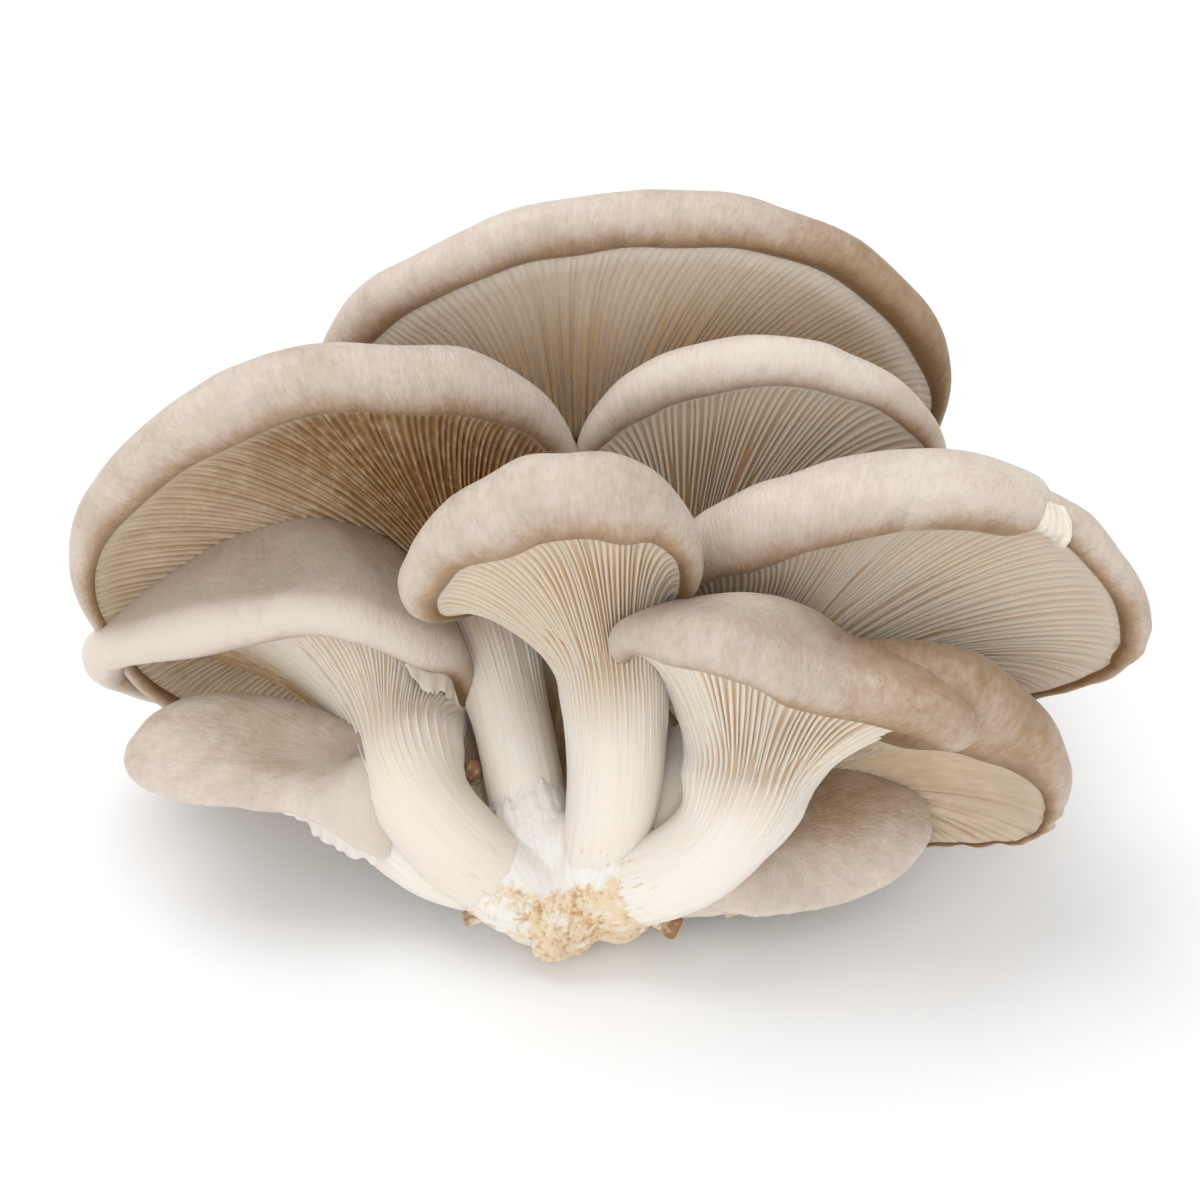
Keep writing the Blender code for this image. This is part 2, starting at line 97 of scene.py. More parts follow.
MUSHROOMS = {
    "mushroom_left": dict(
        tone=(-0.12, 0.40, 165, 60, 0.88), cream=0.0, shade=(-10, 30, 2.4), contrast=0.6,
        foot=(-17, 12, 11), bend=((-29, 14, 21), (-43, 24, 28)), hub=(-36, 53, 24),
        top=(0.08, 0.87, 0.48), out=(-1, 0.06, 0.05), stem=(8, 9, 9.5, 11.5), crown=(35, 27, -1),
        tune=(0.72, 1.00, 1.05, 402, 1.15), gills=(48, 3), blade=1.2, rows=(34, 38, 34),
        dip=58, flat=1.7,
        rim=((-150, 12, 2, 2), (-110, 18, 3, 2.5), (-75, 27, 3, 2.8), (-45, 41.5, 3, 3),
             (-22, 54, 2, 3), (-8, 60, 1, 3.4), (0, 62.5, 0.5, 4.2), (11, 61, 0.5, 5), (22, 54, 0, 5),
             (38, 45, 1.2, 5), (55, 37, 4, 5), (64, 34, 4, 5), (77, 29, 3, 4.8), (94, 22.5, 2, 4.6),
             (117, 17, 2.5, 4.2), (138, 12, -1, 3.6), (170, 10, 0, 2))),
    "mushroom_front_right": dict(
        tone=(0.13, 0.18, 48, 45, 0.40), cream=0.3, stem_tone=0.12, contrast=0.8,
        foot=(2, 11, 12), bend=((22, 6, 19.5), (28.5, 13, 33)), hub=(28, 27, 35),
        top=(0.22, 0.90, 0.38), out=(0.12, -0.42, 0.90), stem=(8, 8.8, 9.6, 12.5), crown=(23, 3, 13),
        tune=(0.72, 0.70, 0.90, 405, 1.20), gills=(48, 2), blade=1.6, rows=(34, 34, 28), flat=1.5,
        rim=((-150, 12, 2, 3), (-110, 16, 4, 2), (-80, 23, 5, 2), (-58, 33, 5, 3), (-43, 37, 3, 3.8),
             (-30, 38, 1, 5), (-18, 34.5, 2, 5.4), (-4, 29, 3, 5.5), (10, 26, 3, 5.5),
             (26, 28, 3, 5.5), (38, 34, 3, 5.5), (48, 40, 2, 5.2), (58, 41, 3, 4.6), (68, 37, 6, 4),
             (85, 29, 10, 3.5), (115, 19, 7, 3))),
    "mushroom_centre": dict(
        tone=(0.24, 0.16, 60, 50, 0.12), cream=0.65, stem_tone=0.25, contrast=0.9,
        foot=(-2, 12, 11), bend=((5, 19, 28), (4, 26, 46)), hub=(0, 44.5, 53.5),
        top=(0, 0.99, 0.15), out=(-0.10, -0.15, 0.98), stem=(7, 8.5, 9.5, 10.5), crown=(8, 0, 0),
        tune=(0.72, 0.80, 0.95, 418, 1.0), gills=(48, 2), blade=1.4, rows=(36, 34, 24),
        rim=((-170, 9, -4, 2.6), (-135, 10, -2, 2.4), (-115, 12, 1, 2.4), (-95, 16, 3, 2.4),
             (-82, 22, 1, 2.4), (-75, 28, -4, 3), (-68, 33.8, -8, 3.8), (-61, 36.4, -8, 4.2),
             (-51, 37.8, -8, 4.8), (-39, 38.6, -8, 5.8), (-25, 38.3, -8, 7.2), (-9, 39.8, -8, 8),
             (4, 39.5, -8, 8.2), (14, 38, -8, 7.6), (22, 37, -8, 6), (32, 33, -8, 4.4),
             (50, 24, -7, 3.4), (75, 14, -5, 3), (120, 10, -4, 2.6))),
    "mushroom_lower_left": dict(
        tone=(0.25, 0.22, 112, 52, -0.52), cream=0.0, stem_tone=0.1,
        foot=(-19, 12, 9), bend=((-31, 12, 10), (-44, 21, 10)), hub=(-49, 30, 27),
        top=(0.04, -0.20, 0.98), out=(-0.99, -0.02, 0.03), stem=(4, 4.5, 5, 5.5), crown=(4.5, -2, 2),
        tune=(0.75, 0.60, 0.90, 408, 1.10), gills=(38, 2), blade=1.4, rows=(24, 24, 26), flat=1.5,
        rim=((-150, 11, -2, 2.4), (-115, 8.5, -1, 2.2), (-85, 8, 0, 2.2), (-60, 11.5, 0, 2.6),
             (-36, 21.5, 0, 3.2), (-20, 33, 0, 3.8), (-7, 37, 0, 4.2), (4, 37, 0, 4.5),
             (15, 28, 0, 4.3), (26, 19, 0, 4), (50, 12, 0, 3.6), (78, 12, -2.5, 2.4),
             (102, 15, -5.5, 2), (115, 17.5, -7.5, 1.5), (135, 15, -7, 1.8))),
    "mushroom_bottom_right": dict(
        tone=(-0.10, 0.46, 20, 45, 0.25), cream=0.1,
        foot=(4, 13, 7), bend=((12, 13, 6.5), (20, 12, 6)), hub=(31, 17, 9),
        top=(-0.12, -0.20, 0.97), out=(0.97, 0.20, 0.10), stem=(4, 4, 4, 4.5), crown=(12, 1, 0),
        tune=(0.72, 0.50, 0.90, 402, 1.20), gills=(34, 2), blade=1.0, rows=(14, 14, 28), flat=1.5,
        rim=((-160, 13, 6, 1.6), (-115, 10, 4, 1.6), (-70, 9.5, 1, 1.8), (-44, 12.4, -1, 2),
             (-24, 19.5, -1, 2), (-10, 27.5, -1, 2), (4, 33, -1, 2.2), (20, 33, -1, 2.6),
             (38, 31, -1, 3), (58, 28, -1, 3), (80, 24, -1, 3), (110, 18, 2, 2.6), (150, 14, 5, 2))),
    "mushroom_lower_right": dict(
        tone=(0.30, 0.20, -60, 50, 0.26), cream=1.15, contrast=0.5,
        foot=(9, 17, 9), bend=((18, 26, 17), (39, 28, 22)), hub=(44, 42, 14),
        top=(0.22, 0.97, 0.07), out=(0.97, -0.22, 0.06), stem=(5, 6, 6.5, 7.5), crown=(6, 0, 0),
        gills=(46, 2), blade=0.95, rows=(14, 28, 24),
        rim=((-165, 13, 0, 3), (-120, 15, -3, 4), (-96, 24, -7, 8), (-76, 33, -9, 10),
             (-54, 40, -9, 10.5), (-38, 44.5, -9, 8.6), (-28, 46.8, -9, 6.5), (-15, 48.2, -9, 3.4),
             (-5, 46.8, -9, 1.8), (5, 41.8, -9, 1.1), (15, 29, -9, 1), (25, 21.5, -9, 1),
             (45, 15.8, -8, 1), (90, 14, -6, 2), (150, 13, -2, 3))),
    "mushroom_right": dict(
        tone=(0.16, 0.18, 40, 50, 0.22), cream=0.5, stem_tone=0.2, contrast=0.8,
        foot=(4, 15, 9), bend=((12, 20.5, 18), (17, 34, 28.5)), hub=(40, 58, 35),
        top=(0.15, 0.99, 0.01), out=(0.77, -0.12, 0.63), stem=(7, 8, 9, 11), crown=(8, 0, 0),
        gills=(50, 3), blade=1.3, rows=(24, 36, 28),
        rim=((-170, 19, -2, 3), (-140, 19, -3, 2.6), (-116, 26, -8, 1.8), (-100, 33, -11, 3.6),
             (-84, 34, -11, 6.2), (-62, 37, -11, 7.8), (-44, 43, -11, 8.4), (-29, 51, -11, 8.4),
             (-22, 55.5, -11, 5.5), (-15, 60, -11.5, 4), (-8, 63, -11, 3.6), (6, 66, -11, 3.3),
             (22, 66, -11, 3), (31, 59, -11, 2.5), (42, 40, -11, 1.2), (60, 26, -10, 1.6),
             (90, 20, -7, 2.5), (135, 19, -4, 3))),
    "mushroom_upper_left": dict(
        tone=(0.18, 0.18, -60, 40, 0.10), cream=1.2, shade=(45, 45, 1.7), stem_tone=0.0,
        foot=(-11, 17, 9), bend=((-15, 27, 22.5), (-17, 48, 35)), hub=(-30, 84, 31),
        top=(-0.22, 0.98, 0.01), out=(-0.53, -0.13, 0.84), stem=(7, 7.5, 8, 10), crown=(8, 0, 0),
        gills=(48, 4), blade=1.55, rows=(26, 34, 30),
        rim=((-175, 14, -5, 3.5), (-135, 24, -8, 3), (-100, 42, -12, 3), (-70, 61, -14, 2.5),
             (-52, 72, -15, 1.6), (-38, 78.8, -15, 2.6), (-26, 79, -15, 4.6), (-10, 74.9, -15, 6.4),
             (6, 69.9, -15, 7), (20, 62.5, -15, 6.9), (36, 57, -15, 6.3), (52, 49, -15, 4.6),
             (64, 41, -14, 3.4), (90, 28, -11, 3.5), (130, 17, -7, 3.5))),
    "mushroom_upper_right": dict(
        tone=(0.04, 0.20, 60, 40, 0.22), cream=0.25, shade=(-10, 60, 0.2), hollow=1.4,
        foot=(-3, 18, 7), bend=((8, 38, 14), (18, 63, 28)), hub=(20, 83, 43),
        top=(0.10, 0.99, 0), out=(0.35, -0.04, 0.94), stem=(6, 6.5, 7, 8.5), crown=(7, 0, 0),
        gills=(42, 3), blade=1.65, rows=(16, 32, 24),
        rim=((-165, 11, -5, 3), (-120, 17, -7, 3), (-90, 24, -9, 2.6), (-66, 32, -10, 2.2),
             (-50, 37, -10, 3.6), (-36, 41, -10, 4.8), (-22, 45, -10, 5.4), (-6, 50, -10, 5),
             (12, 54, -10, 4), (28, 56, -10, 2.7), (40, 54, -10, 1.7), (60, 46, -10, 2),
             (90, 32, -8, 3), (135, 17, -6, 3))),
    "mushroom_back": dict(
        tone=(0.20, 0.22, 75, 50, 0.60), cream=0.0, shade=(75, 42, 1.0), hollow=2.2, contrast=1.05,
        foot=(-8, 18, 7), bend=((-7, 38, 9), (-4, 80, 19)), hub=(-4, 109, 40),
        top=(0, 1, 0.02), out=(0.10, -0.02, 1), stem=(8, 8.5, 9, 11), crown=(9, 0, 0),
        gills=(50, 4), blade=1.95, rows=(14, 34, 32),
        rim=((-170, 14, -5, 4), (-130, 24, -8, 4), (-100, 37, -11, 4), (-75, 53, -12, 4),
             (-58, 60.5, -12, 4), (-44, 62.5, -12, 5), (-30, 63, -12, 5), (-12, 65.4, -12, 5.5),
             (6, 69.5, -12, 5.5), (22, 75, -12, 5), (40, 79, -12, 4.4), (55, 79, -12, 3.6),
             (68, 75, -12, 1.8), (90, 60, -12, 2.5), (115, 40, -10, 3.5), (145, 22, -7, 4))),
    "mushroom_rear_left": dict(
        hollow=2.2,
        foot=(-12, 18, 5), bend=((-24, 46, 7), (-26, 80, 7)), hub=(-54, 111, 15),
        top=(-0.45, 0.88, 0.10), out=(-0.55, -0.20, 0.80), stem=(5, 6.5, 6.5, 7), crown=(6, 0, 0),
        tune=(0.82, 0.85, 1.0, 418, 1.0), gills=(36, 2), blade=1.6, rows=(16, 18, 20),
        rim=((-150, 12, -4, 2.5), (-90, 21, -7, 3), (-45, 29, -8, 3.4), (0, 31, -8, 3.6),
             (45, 27, -8, 3.4), (90, 18, -6, 3), (140, 11, -4, 2.5))),
    "mushroom_rear_right": dict(
        hollow=2.2,
        foot=(-1, 19, 5), bend=((12, 52, 5), (30, 86, 5)), hub=(54, 113, 13),
        top=(0.40, 0.90, 0.10), out=(0.50, -0.20, 0.84), stem=(4, 4.5, 4.5, 6), crown=(6, 0, 0),
        tune=(0.82, 0.85, 1.0, 418, 1.0), gills=(36, 2), blade=1.6, rows=(16, 18, 20),
        rim=((-150, 11, -4, 2.5), (-90, 18, -6, 3), (-45, 25, -7, 3.2), (0, 28, -7, 3.4),
             (45, 26, -7, 3.2), (90, 19, -6, 3), (140, 12, -4, 2.5))),
}
# Stretches of rim that are crinkled by drying: from, to (degrees), depth of the crinkles (mm).
CRINKLES = {
    "mushroom_right": ((20, 75, 0.5),), "mushroom_lower_right": ((-12, 60, 0.3),),
}
print(len(MUSHROOMS), "mushrooms in the table")

# %% [markdown]
# ## Curves that everything else uses
#
# Three small tools carry the whole cluster.  A smooth curve through a few values turns a table
# row into a shape.  An eased step fades one thing into another.  A lattice of random numbers,
# blended smoothly, gives the unevenness that keeps grown flesh from looking turned on a lathe.

# %% curve tools
def unit(v):
    """Each vector divided by its own length."""
    v = np.asarray(v, float)
    return v / np.linalg.norm(v, axis=-1, keepdims=True)


def degrees_from(u, angle=0):
    """How far u lies from an angle: between -180 and 180 degrees."""
    return np.degrees(np.mod(u - np.radians(angle) + np.pi, 2 * np.pi) - np.pi)


def wrapped(radius, angle, along):
    """A position on a pipe along z, so that a pattern closes around a piece."""
    return np.stack(np.broadcast_arrays(radius * np.cos(angle), radius * np.sin(angle), along), -1)


def ease(x, low, high):
    """0 below low, 1 above high, and 3t squared minus 2t cubed between them."""
    t = np.clip((x - low) / (high - low), 0, 1)
    return t * t * (3 - 2 * t)


def through(knots, values, x):
    """A smooth curve through the values at uneven knots: cubic pieces whose slope at each knot is
    that of the straight line between its two neighbours."""
    slope = (values[2:] - values[:-2]) / (knots[2:] - knots[:-2])
    slope = np.concatenate([slope[:1], slope, slope[-1:]])
    k = np.clip(np.searchsorted(knots, x, side="right") - 1, 0, len(knots) - 2)
    h = knots[k + 1] - knots[k]
    t = (x - knots[k]) / h
    return ((2 * t**3 - 3 * t**2 + 1) * values[k] + (t**3 - 2 * t**2 + t) * h * slope[k]
            + (3 * t**2 - 2 * t**3) * values[k + 1] + (t**3 - t**2) * h * slope[k + 1])


def around(table, column, u):
    """One column of a rim table as a smooth closed function of the angle u."""
    rows = np.array(sorted(table), float)
    a, v = np.radians(rows[:, 0]), rows[:, column]
    a = np.concatenate([a[-2:] - 2 * np.pi, a, a[:2] + 2 * np.pi])
    v = np.concatenate([v[-2:], v, v[:2]])
    return through(a, v, np.mod(u - a[2], 2 * np.pi) + a[2])


def bezier(p, t):
    """A cubic curve that leaves p0 towards p1 and reaches p3 from p2."""
    t = np.clip(t, 0, 1)[..., None]
    return ((1 - t)**3 * p[0] + 3 * (1 - t)**2 * t * p[1] + 3 * (1 - t) * t**2 * p[2] + t**3 * p[3])


def hermite(p0, d0, p1, d1, t):
    """A cubic curve from p0 to p1 that starts along d0 and ends along d1."""
    t = t[..., None]
    return ((2 * t**3 - 3 * t**2 + 1) * p0 + (t**3 - 2 * t**2 + t) * d0
            + (3 * t**2 - 2 * t**3) * p1 + (t**3 - t**2) * d1)


def cloud(points, size, seed):
    """Smooth random values between -1 and 1: a random number at each corner of a lattice with the
    given spacing, blended between the eight corners around each point with eased weights."""
    p = np.asarray(points, float) / size + 31.7 * seed
    cell = np.floor(p).astype(np.int64)
    w = p - cell
    w = w * w * (3 - 2 * w)
    total = np.zeros(p.shape[:-1])
    for corner in np.ndindex(2, 2, 2):
        c = cell + corner
        h = (c[..., 0] * 73856093 ^ c[..., 1] * 19349663 ^ c[..., 2] * 83492791) & 0xFFFFFF
        h = (h * (h ^ 15731) + 789221) & 0xFFFFFF
        h = (h * (h ^ 1376) + 312589) & 0xFFFFFF
        share = np.prod(np.where(corner, w, 1 - w), axis=-1)
        total += share * (h / 0x7FFFFF - 1)
    return total


def waves(u, counts, seed):
    """A closed wavy line: one sine for each count of waves around the circle, with random starts."""
    starts = np.random.default_rng(seed).uniform(0, 2 * np.pi, len(counts))
    return sum(np.sin(n * u + s) for n, s in zip(counts, starts)) / len(counts)


print("curve tools ready; a cloud sample:", np.round(cloud(np.eye(3), 0.4, 1), 2))

# %% [markdown]
# ## From sponge to mesh: bands of rings
#
# Gills need very fine columns, while the skin needs few.  A plain grid would waste a million
# faces.  So the surface is a stack of bands, each with its own set of columns, and a row of
# triangles joins a coarse ring to a fine one wherever the set changes.  The poles at the foot and
# at the crown close it, and the signed volume tells whether the faces point outwards.

# %% bands to one closed mesh
def grid_faces(start, rows, columns):
    """Four corners of every cell of a grid that closes around its columns."""
    i = np.arange(columns)
    j = (i + 1) % columns
    k = start + np.arange(rows - 1)[:, None] * columns
    return np.stack([k + i, k + j, k + j + columns, k + i + columns], axis=-1).reshape(-1, 4)


def join_faces(low, low_ids, high, high_ids):
    """Triangles between a ring of coarse columns and one of fine columns.  Every fine edge makes
    a triangle with the coarse corner it follows, and every coarse edge one with the fine corner
    that it ends on."""
    widen = len(high_ids) >= len(low_ids)
    fine, fine_ids, coarse, coarse_ids = ((high, high_ids, low, low_ids) if widen
                                          else (low, low_ids, high, high_ids))
    shared = np.isin(fine_ids, coarse_ids)
    owner = coarse + np.cumsum(shared) - 1
    f = fine + np.arange(len(fine_ids))
    f_next = np.roll(f, -1)
    c = coarse + np.arange(len(coarse_ids))
    c_next = np.roll(c, -1)
    meet = np.roll(f[shared], -1)
    if widen:
        return np.concatenate([np.stack([owner, f_next, f], -1), np.stack([c, c_next, meet], -1)])
    return np.concatenate([np.stack([f, f_next, owner], -1), np.stack([meet, c_next, c], -1)])


def pole_faces(ring, columns, pole, closing):
    """A fan of triangles from a ring to its pole; closing is True at the crown end."""
    i = ring + np.arange(columns)
    j = np.roll(i, -1)
    p = np.full(columns, pole)
    return np.stack([i, j, p], -1) if closing else np.stack([p, j, i], -1)


def capped(points, foot):
    """A grid of rings closed with a pole at each end, one at foot and one amid the last ring."""
    rows, columns = points.shape[:2]
    flat = np.concatenate([points.reshape(-1, 3), [foot, points[-1].mean(axis=0)]])
    tris = np.concatenate([pole_faces(0, columns, len(flat) - 2, False),
                           pole_faces((rows - 1) * columns, columns, len(flat) - 1, True)])
    return flat, grid_faces(0, rows, columns), tris


def mesh_object(name, points, quads, tris, materials, skin_from=None, marks=None):
    """A smooth mesh object at the origin from arrays of corners.  Vertices with a number of
    skin_from or more belong to the first material, and the faces below them to the second."""
    thirds = np.concatenate([quads[:, :3], quads[:, (0, 2, 3)], tris])
    a, b, c = points[thirds].transpose(1, 0, 2)
    volume = np.sum(a * np.cross(b, c)) / 6
    if volume < 0:
        quads, tris = quads[:, ::-1], tris[:, ::-1]
    mesh = bpy.data.meshes.new(name)
    mesh.vertices.add(len(points))
    mesh.vertices.foreach_set("co", ((points + SHIFT) * MM).astype(np.float32).ravel())
    mesh.loops.add(quads.size + tris.size)
    corners = np.concatenate([quads.ravel(), tris.ravel()])
    mesh.loops.foreach_set("vertex_index", corners.astype(np.int32))
    starts = np.concatenate([np.arange(len(quads)) * 4, quads.size + np.arange(len(tris)) * 3])
    mesh.polygons.add(len(starts))
    mesh.polygons.foreach_set("loop_start", starts.astype(np.int32))
    mesh.update(calc_edges=True)
    mesh.polygons.foreach_set("use_smooth", np.ones(len(starts), bool))
    for material in materials:
        mesh.materials.append(material)
    if skin_from is not None:
        lowest = np.concatenate([quads.min(axis=1), tris.min(axis=1)])
        mesh.polygons.foreach_set("material_index", (lowest < skin_from).astype(np.int32))
    for mark, values in (marks or {}).items():
        kind, field = ("FLOAT_VECTOR", "vector") if values.ndim == 2 else ("FLOAT", "value")
        layer = mesh.attributes.new(mark, kind, "POINT")
        layer.data.foreach_set(field, values.astype(np.float32).ravel())
    mesh.validate()
    obj = bpy.data.objects.new(name, mesh)
    bpy.context.scene.collection.objects.link(obj)
    size = np.ptp(points, axis=0)
    print(f"{name}: {len(quads) * 2 + len(tris)} triangles, {abs(volume) / 1000:.1f} cm3, "
          f"{size[0]:.0f} x {size[1]:.0f} x {size[2]:.0f} mm")
    return obj


# %% [markdown]
# ## Finishes
#
# Oyster skin is silky: short radial fibres, a mottled beige-brown, and a soft satin shine.  The
# gills and stem are bare cream flesh that lets some light in.  The base is matt white felt with
# orange-brown stains.  A painted texture could be wrapped on, but here every finish is worked
# out by shader nodes from marks that the surfaces carry, so it follows the growth of the piece:
# *grain* (a position that runs around and along the mushroom), *run* (how far from foot to
# crown), *cavity* (how deep between two gills, which the flesh turns into painted shade in the
# valleys) and *tone* (how brown the surface is: its grown colour, with painted light and shade
# added on some sides, under the rolled margin and between the stems).

# %% small helpers for shader nodes
def node(tree, kind, sockets=None, **settings):
    """One shader node.  Each socket gets a value, or a link from another node's output."""
    n = tree.nodes.new("ShaderNode" + kind)
    for key, value in settings.items():
        setattr(n, key, value)
    for key, value in (sockets or {}).items():
        if isinstance(value, bpy.types.NodeSocket):
            tree.links.new(value, n.inputs[key])
        else:
            n.inputs[key].default_value = value
    return n


def mark(tree, name, output="Fac"):
    """A value that the surface carries."""
    return node(tree, "Attribute", attribute_name=name).outputs[output]


def maths(tree, operation, a, b=0.0, c=0.0):
    """One sum, product or other operation on two or three values."""
    return node(tree, "Math", {0: a, 1: b, 2: c}, operation=operation).outputs[0]


def spread(tree, value, low, high, to_low=0.0, to_high=1.0):
    """A value between low and high, eased to a value between two others, and held outside."""
    return node(tree, "MapRange", {"Value": value, "From Min": low, "From Max": high, "To Min": to_low,
                                   "To Max": to_high}, interpolation_type="SMOOTHSTEP").outputs[0]


def tint(tree, factor, first, second, mode="MIX"):
    """Two colours mixed by a factor."""
    return node(tree, "Mix", {0: factor, 6: first, 7: second}, data_type="RGBA",
                blend_type=mode).outputs[2]


def stained(tree, colour, value, low, high, rgb, most=1.0, mode="MIX"):
    """A colour that turns into another one, at most by a share, as a value goes from low to high."""
    return tint(tree, spread(tree, value, low, high, 0.0, most), colour, (*rgb, 1), mode)


def swayed(tree, value, noise, low, high, amount):
    """A value moved down or up by half of an amount, as a noise goes from low to high."""
    return maths(tree, "MULTIPLY_ADD", spread(tree, noise, low, high, -0.5, 0.5), amount, value)


def speckle(tree, vector, size, detail=2.0, stretch=(1, 1, 1), roughness=0.55):
    """Noise with features of a size in mm, longer along an axis with a stretch under 1."""
    placed = node(tree, "Mapping", {"Vector": vector, "Scale": stretch}).outputs[0]
    return node(tree, "TexNoise", {"Vector": placed, "Scale": 1 / (size * MM), "Detail": detail,
                                   "Roughness": roughness}).outputs[0]


def new_finish(name, roughness, depth=0.25):
    """A material whose flesh lets light about two millimetres in."""
    material = bpy.data.materials.new(name)
    material.use_nodes = True
    tree = material.node_tree
    shader = tree.nodes["Principled BSDF"]
    shader.inputs["Roughness"].default_value = roughness
    shader.inputs["IOR"].default_value = 1.4
    shader.inputs["Subsurface Weight"].default_value = depth
    shader.inputs["Subsurface Radius"].default_value = (1.0, 0.62, 0.36)
    shader.inputs["Subsurface Scale"].default_value = 2.2 * MM
    return material, tree, shader


def surface(tree, shader, colour, height, distance, strength):
    """Gives a shader its colour, and fine relief on its normal with its full height in mm."""
    tree.links.new(colour, shader.inputs["Base Color"])
    bump = node(tree, "Bump", {"Height": height, "Distance": distance * MM, "Strength": strength})
    tree.links.new(bump.outputs[0], shader.inputs["Normal"])


# %% the silky skin
def make_skin():
    """Beige to grey-brown: tone, which carries some painted light and shade, plus clouds choose the
    brown, short fibres streak it, and a dark line of painted shade runs along the crease.
    """
    material, tree, shader = new_finish("silky_skin", 0.5, 0.18)
    grain, place = mark(tree, "grain", "Vector"), node(tree, "TexCoord").outputs["Object"]
    fibres = speckle(tree, grain, 0.50, 3, (1, 1, 0.45), 0.65)
    streaks = speckle(tree, grain, 1.6, 2, (1, 1, 0.12))
    patches = speckle(tree, place, 15, 3)
    flecks = speckle(tree, place, 3.2, 3)
    brown = swayed(tree, mark(tree, "tone"), patches, 0.34, 0.68, 0.13)
    brown = swayed(tree, brown, flecks, 0.3, 0.7, 0.09)
    brown = swayed(tree, brown, streaks, 0.35, 0.65, 0.05)
    brown = swayed(tree, brown, fibres, 0.3, 0.7, 0.12)
    ramp = node(tree, "ValToRGB", {"Fac": brown})
    ramp.color_ramp.elements[0].color = (0.72, 0.64, 0.56, 1)
    ramp.color_ramp.elements[1].color = (0.20, 0.11, 0.045, 1)
    for position, colour in ((0.30, (0.575, 0.475, 0.395, 1)), (0.62, (0.39, 0.265, 0.165, 1))):
        ramp.color_ramp.elements.new(position).color = colour
    # painted shade: a dark line along the crease, where the gill side meets the rolled margin
    line = spread(tree, mark(tree, "run"), 1.0, 1.10, 0.75, 0.0)
    colour = tint(tree, line, ramp.outputs[0], (0.20, 0.12, 0.06, 1))
    tree.links.new(spread(tree, fibres, 0.3, 0.7, 0.60, 0.42), shader.inputs["Roughness"])
    shader.inputs["Sheen Weight"].default_value = 0.12
    shader.inputs["Sheen Roughness"].default_value = 0.4
    surface(tree, shader, colour, maths(tree, "MULTIPLY_ADD", streaks, 0.5, fibres), 0.34, 0.9)
    return material


# %% the bare flesh of gills and stems
def make_flesh():
    """Cream on the blades and stem, browner with the tone mark and its painted shade, ochre between the
    gills as painted shade in the valleys, stained brown near the base.
    """
    material, tree, shader = new_finish("gill_and_stem_flesh", 0.62, 0.30)
    grain, place = mark(tree, "grain", "Vector"), node(tree, "TexCoord").outputs["Object"]
    run = mark(tree, "run")
    fibres = speckle(tree, grain, 0.35, 3, (1, 1, 0.05), 0.6)
    strands = speckle(tree, grain, 1.8, 2, (1, 1, 0.05))
    patches = speckle(tree, place, 9, 3)
    cream = tint(tree, spread(tree, run, -0.4, 1.0), (0.87, 0.825, 0.765, 1), (0.855, 0.79, 0.71, 1))
    colour = stained(tree, cream, mark(tree, "tone"), 0.0, 1.0, (0.65, 0.545, 0.425))
    # mostly painted shade: tones from 0.9 to 2 come from the shaded side, the space between the stems
    # and the darkest creams, and turn the flesh dark brown
    colour = stained(tree, colour, mark(tree, "tone"), 0.9, 2.0, (0.34, 0.20, 0.085))
    colour = stained(tree, colour, strands, 0.42, 0.72, (0.80, 0.68, 0.52), 0.32)
    colour = stained(tree, colour, patches, 0.45, 0.75, (0.86, 0.75, 0.58), 0.20)
    colour = stained(tree, colour, fibres, 0.48, 0.78, (0.72, 0.60, 0.45), 0.22)
    # painted shade: the valleys between the blades turn darker ochre by how deep they lie
    colour = stained(tree, colour, mark(tree, "cavity"), 0.08, 1.1, (0.74, 0.57, 0.38), mode="MULTIPLY")
    dashes = spread(tree, speckle(tree, grain, 0.8, 3, (1, 1, 0.22), 0.6), 0.58, 0.70)
    foot = maths(tree, "MULTIPLY", spread(tree, run, -0.95, -0.62, 1.0, 0.0), dashes)
    colour = tint(tree, foot, colour, (0.56, 0.36, 0.18, 1))
    surface(tree, shader, colour, maths(tree, "MULTIPLY_ADD", strands, 2.0, fibres), 0.22, 0.6)
    return material


# %% felt, torn flesh and young growth
def make_felt():
    """White matted threads, warm towards the cut tip, with orange-brown specks in the creases."""
    material, tree, shader = new_finish("felted_base", 0.85, 0.0)
    place = node(tree, "TexCoord").outputs["Object"]
    grain = mark(tree, "grain", "Vector")
    threads = speckle(tree, grain, 0.4, 4, (1, 1, 0.15), 0.7)
    lumps = speckle(tree, place, 3.0, 4, roughness=0.65)
    crumbs = speckle(tree, place, 0.75, 5, (1, 0.6, 1), 0.75)
    stain = swayed(tree, mark(tree, "tone"), lumps, 0.32, 0.68, 0.9)
    white = tint(tree, spread(tree, threads, 0.35, 0.7), (0.92, 0.90, 0.865, 1), (0.85, 0.81, 0.745, 1))
    colour = stained(tree, white, stain, 0.2, 1.0, (0.83, 0.67, 0.46), 0.95)
    crease = maths(tree, "MULTIPLY_ADD", crumbs, 2.6, mark(tree, "cavity"))
    specks = spread(tree, crease, 1.70, 2.40, 0.0, 0.85)
    specks = maths(tree, "MULTIPLY", specks, spread(tree, stain, 0.05, 0.60))
    colour = tint(tree, specks, colour, (0.56, 0.29, 0.09, 1))
    surface(tree, shader, colour, maths(tree, "MULTIPLY_ADD", crumbs, 1.2, threads), 0.28, 0.7)
    return material


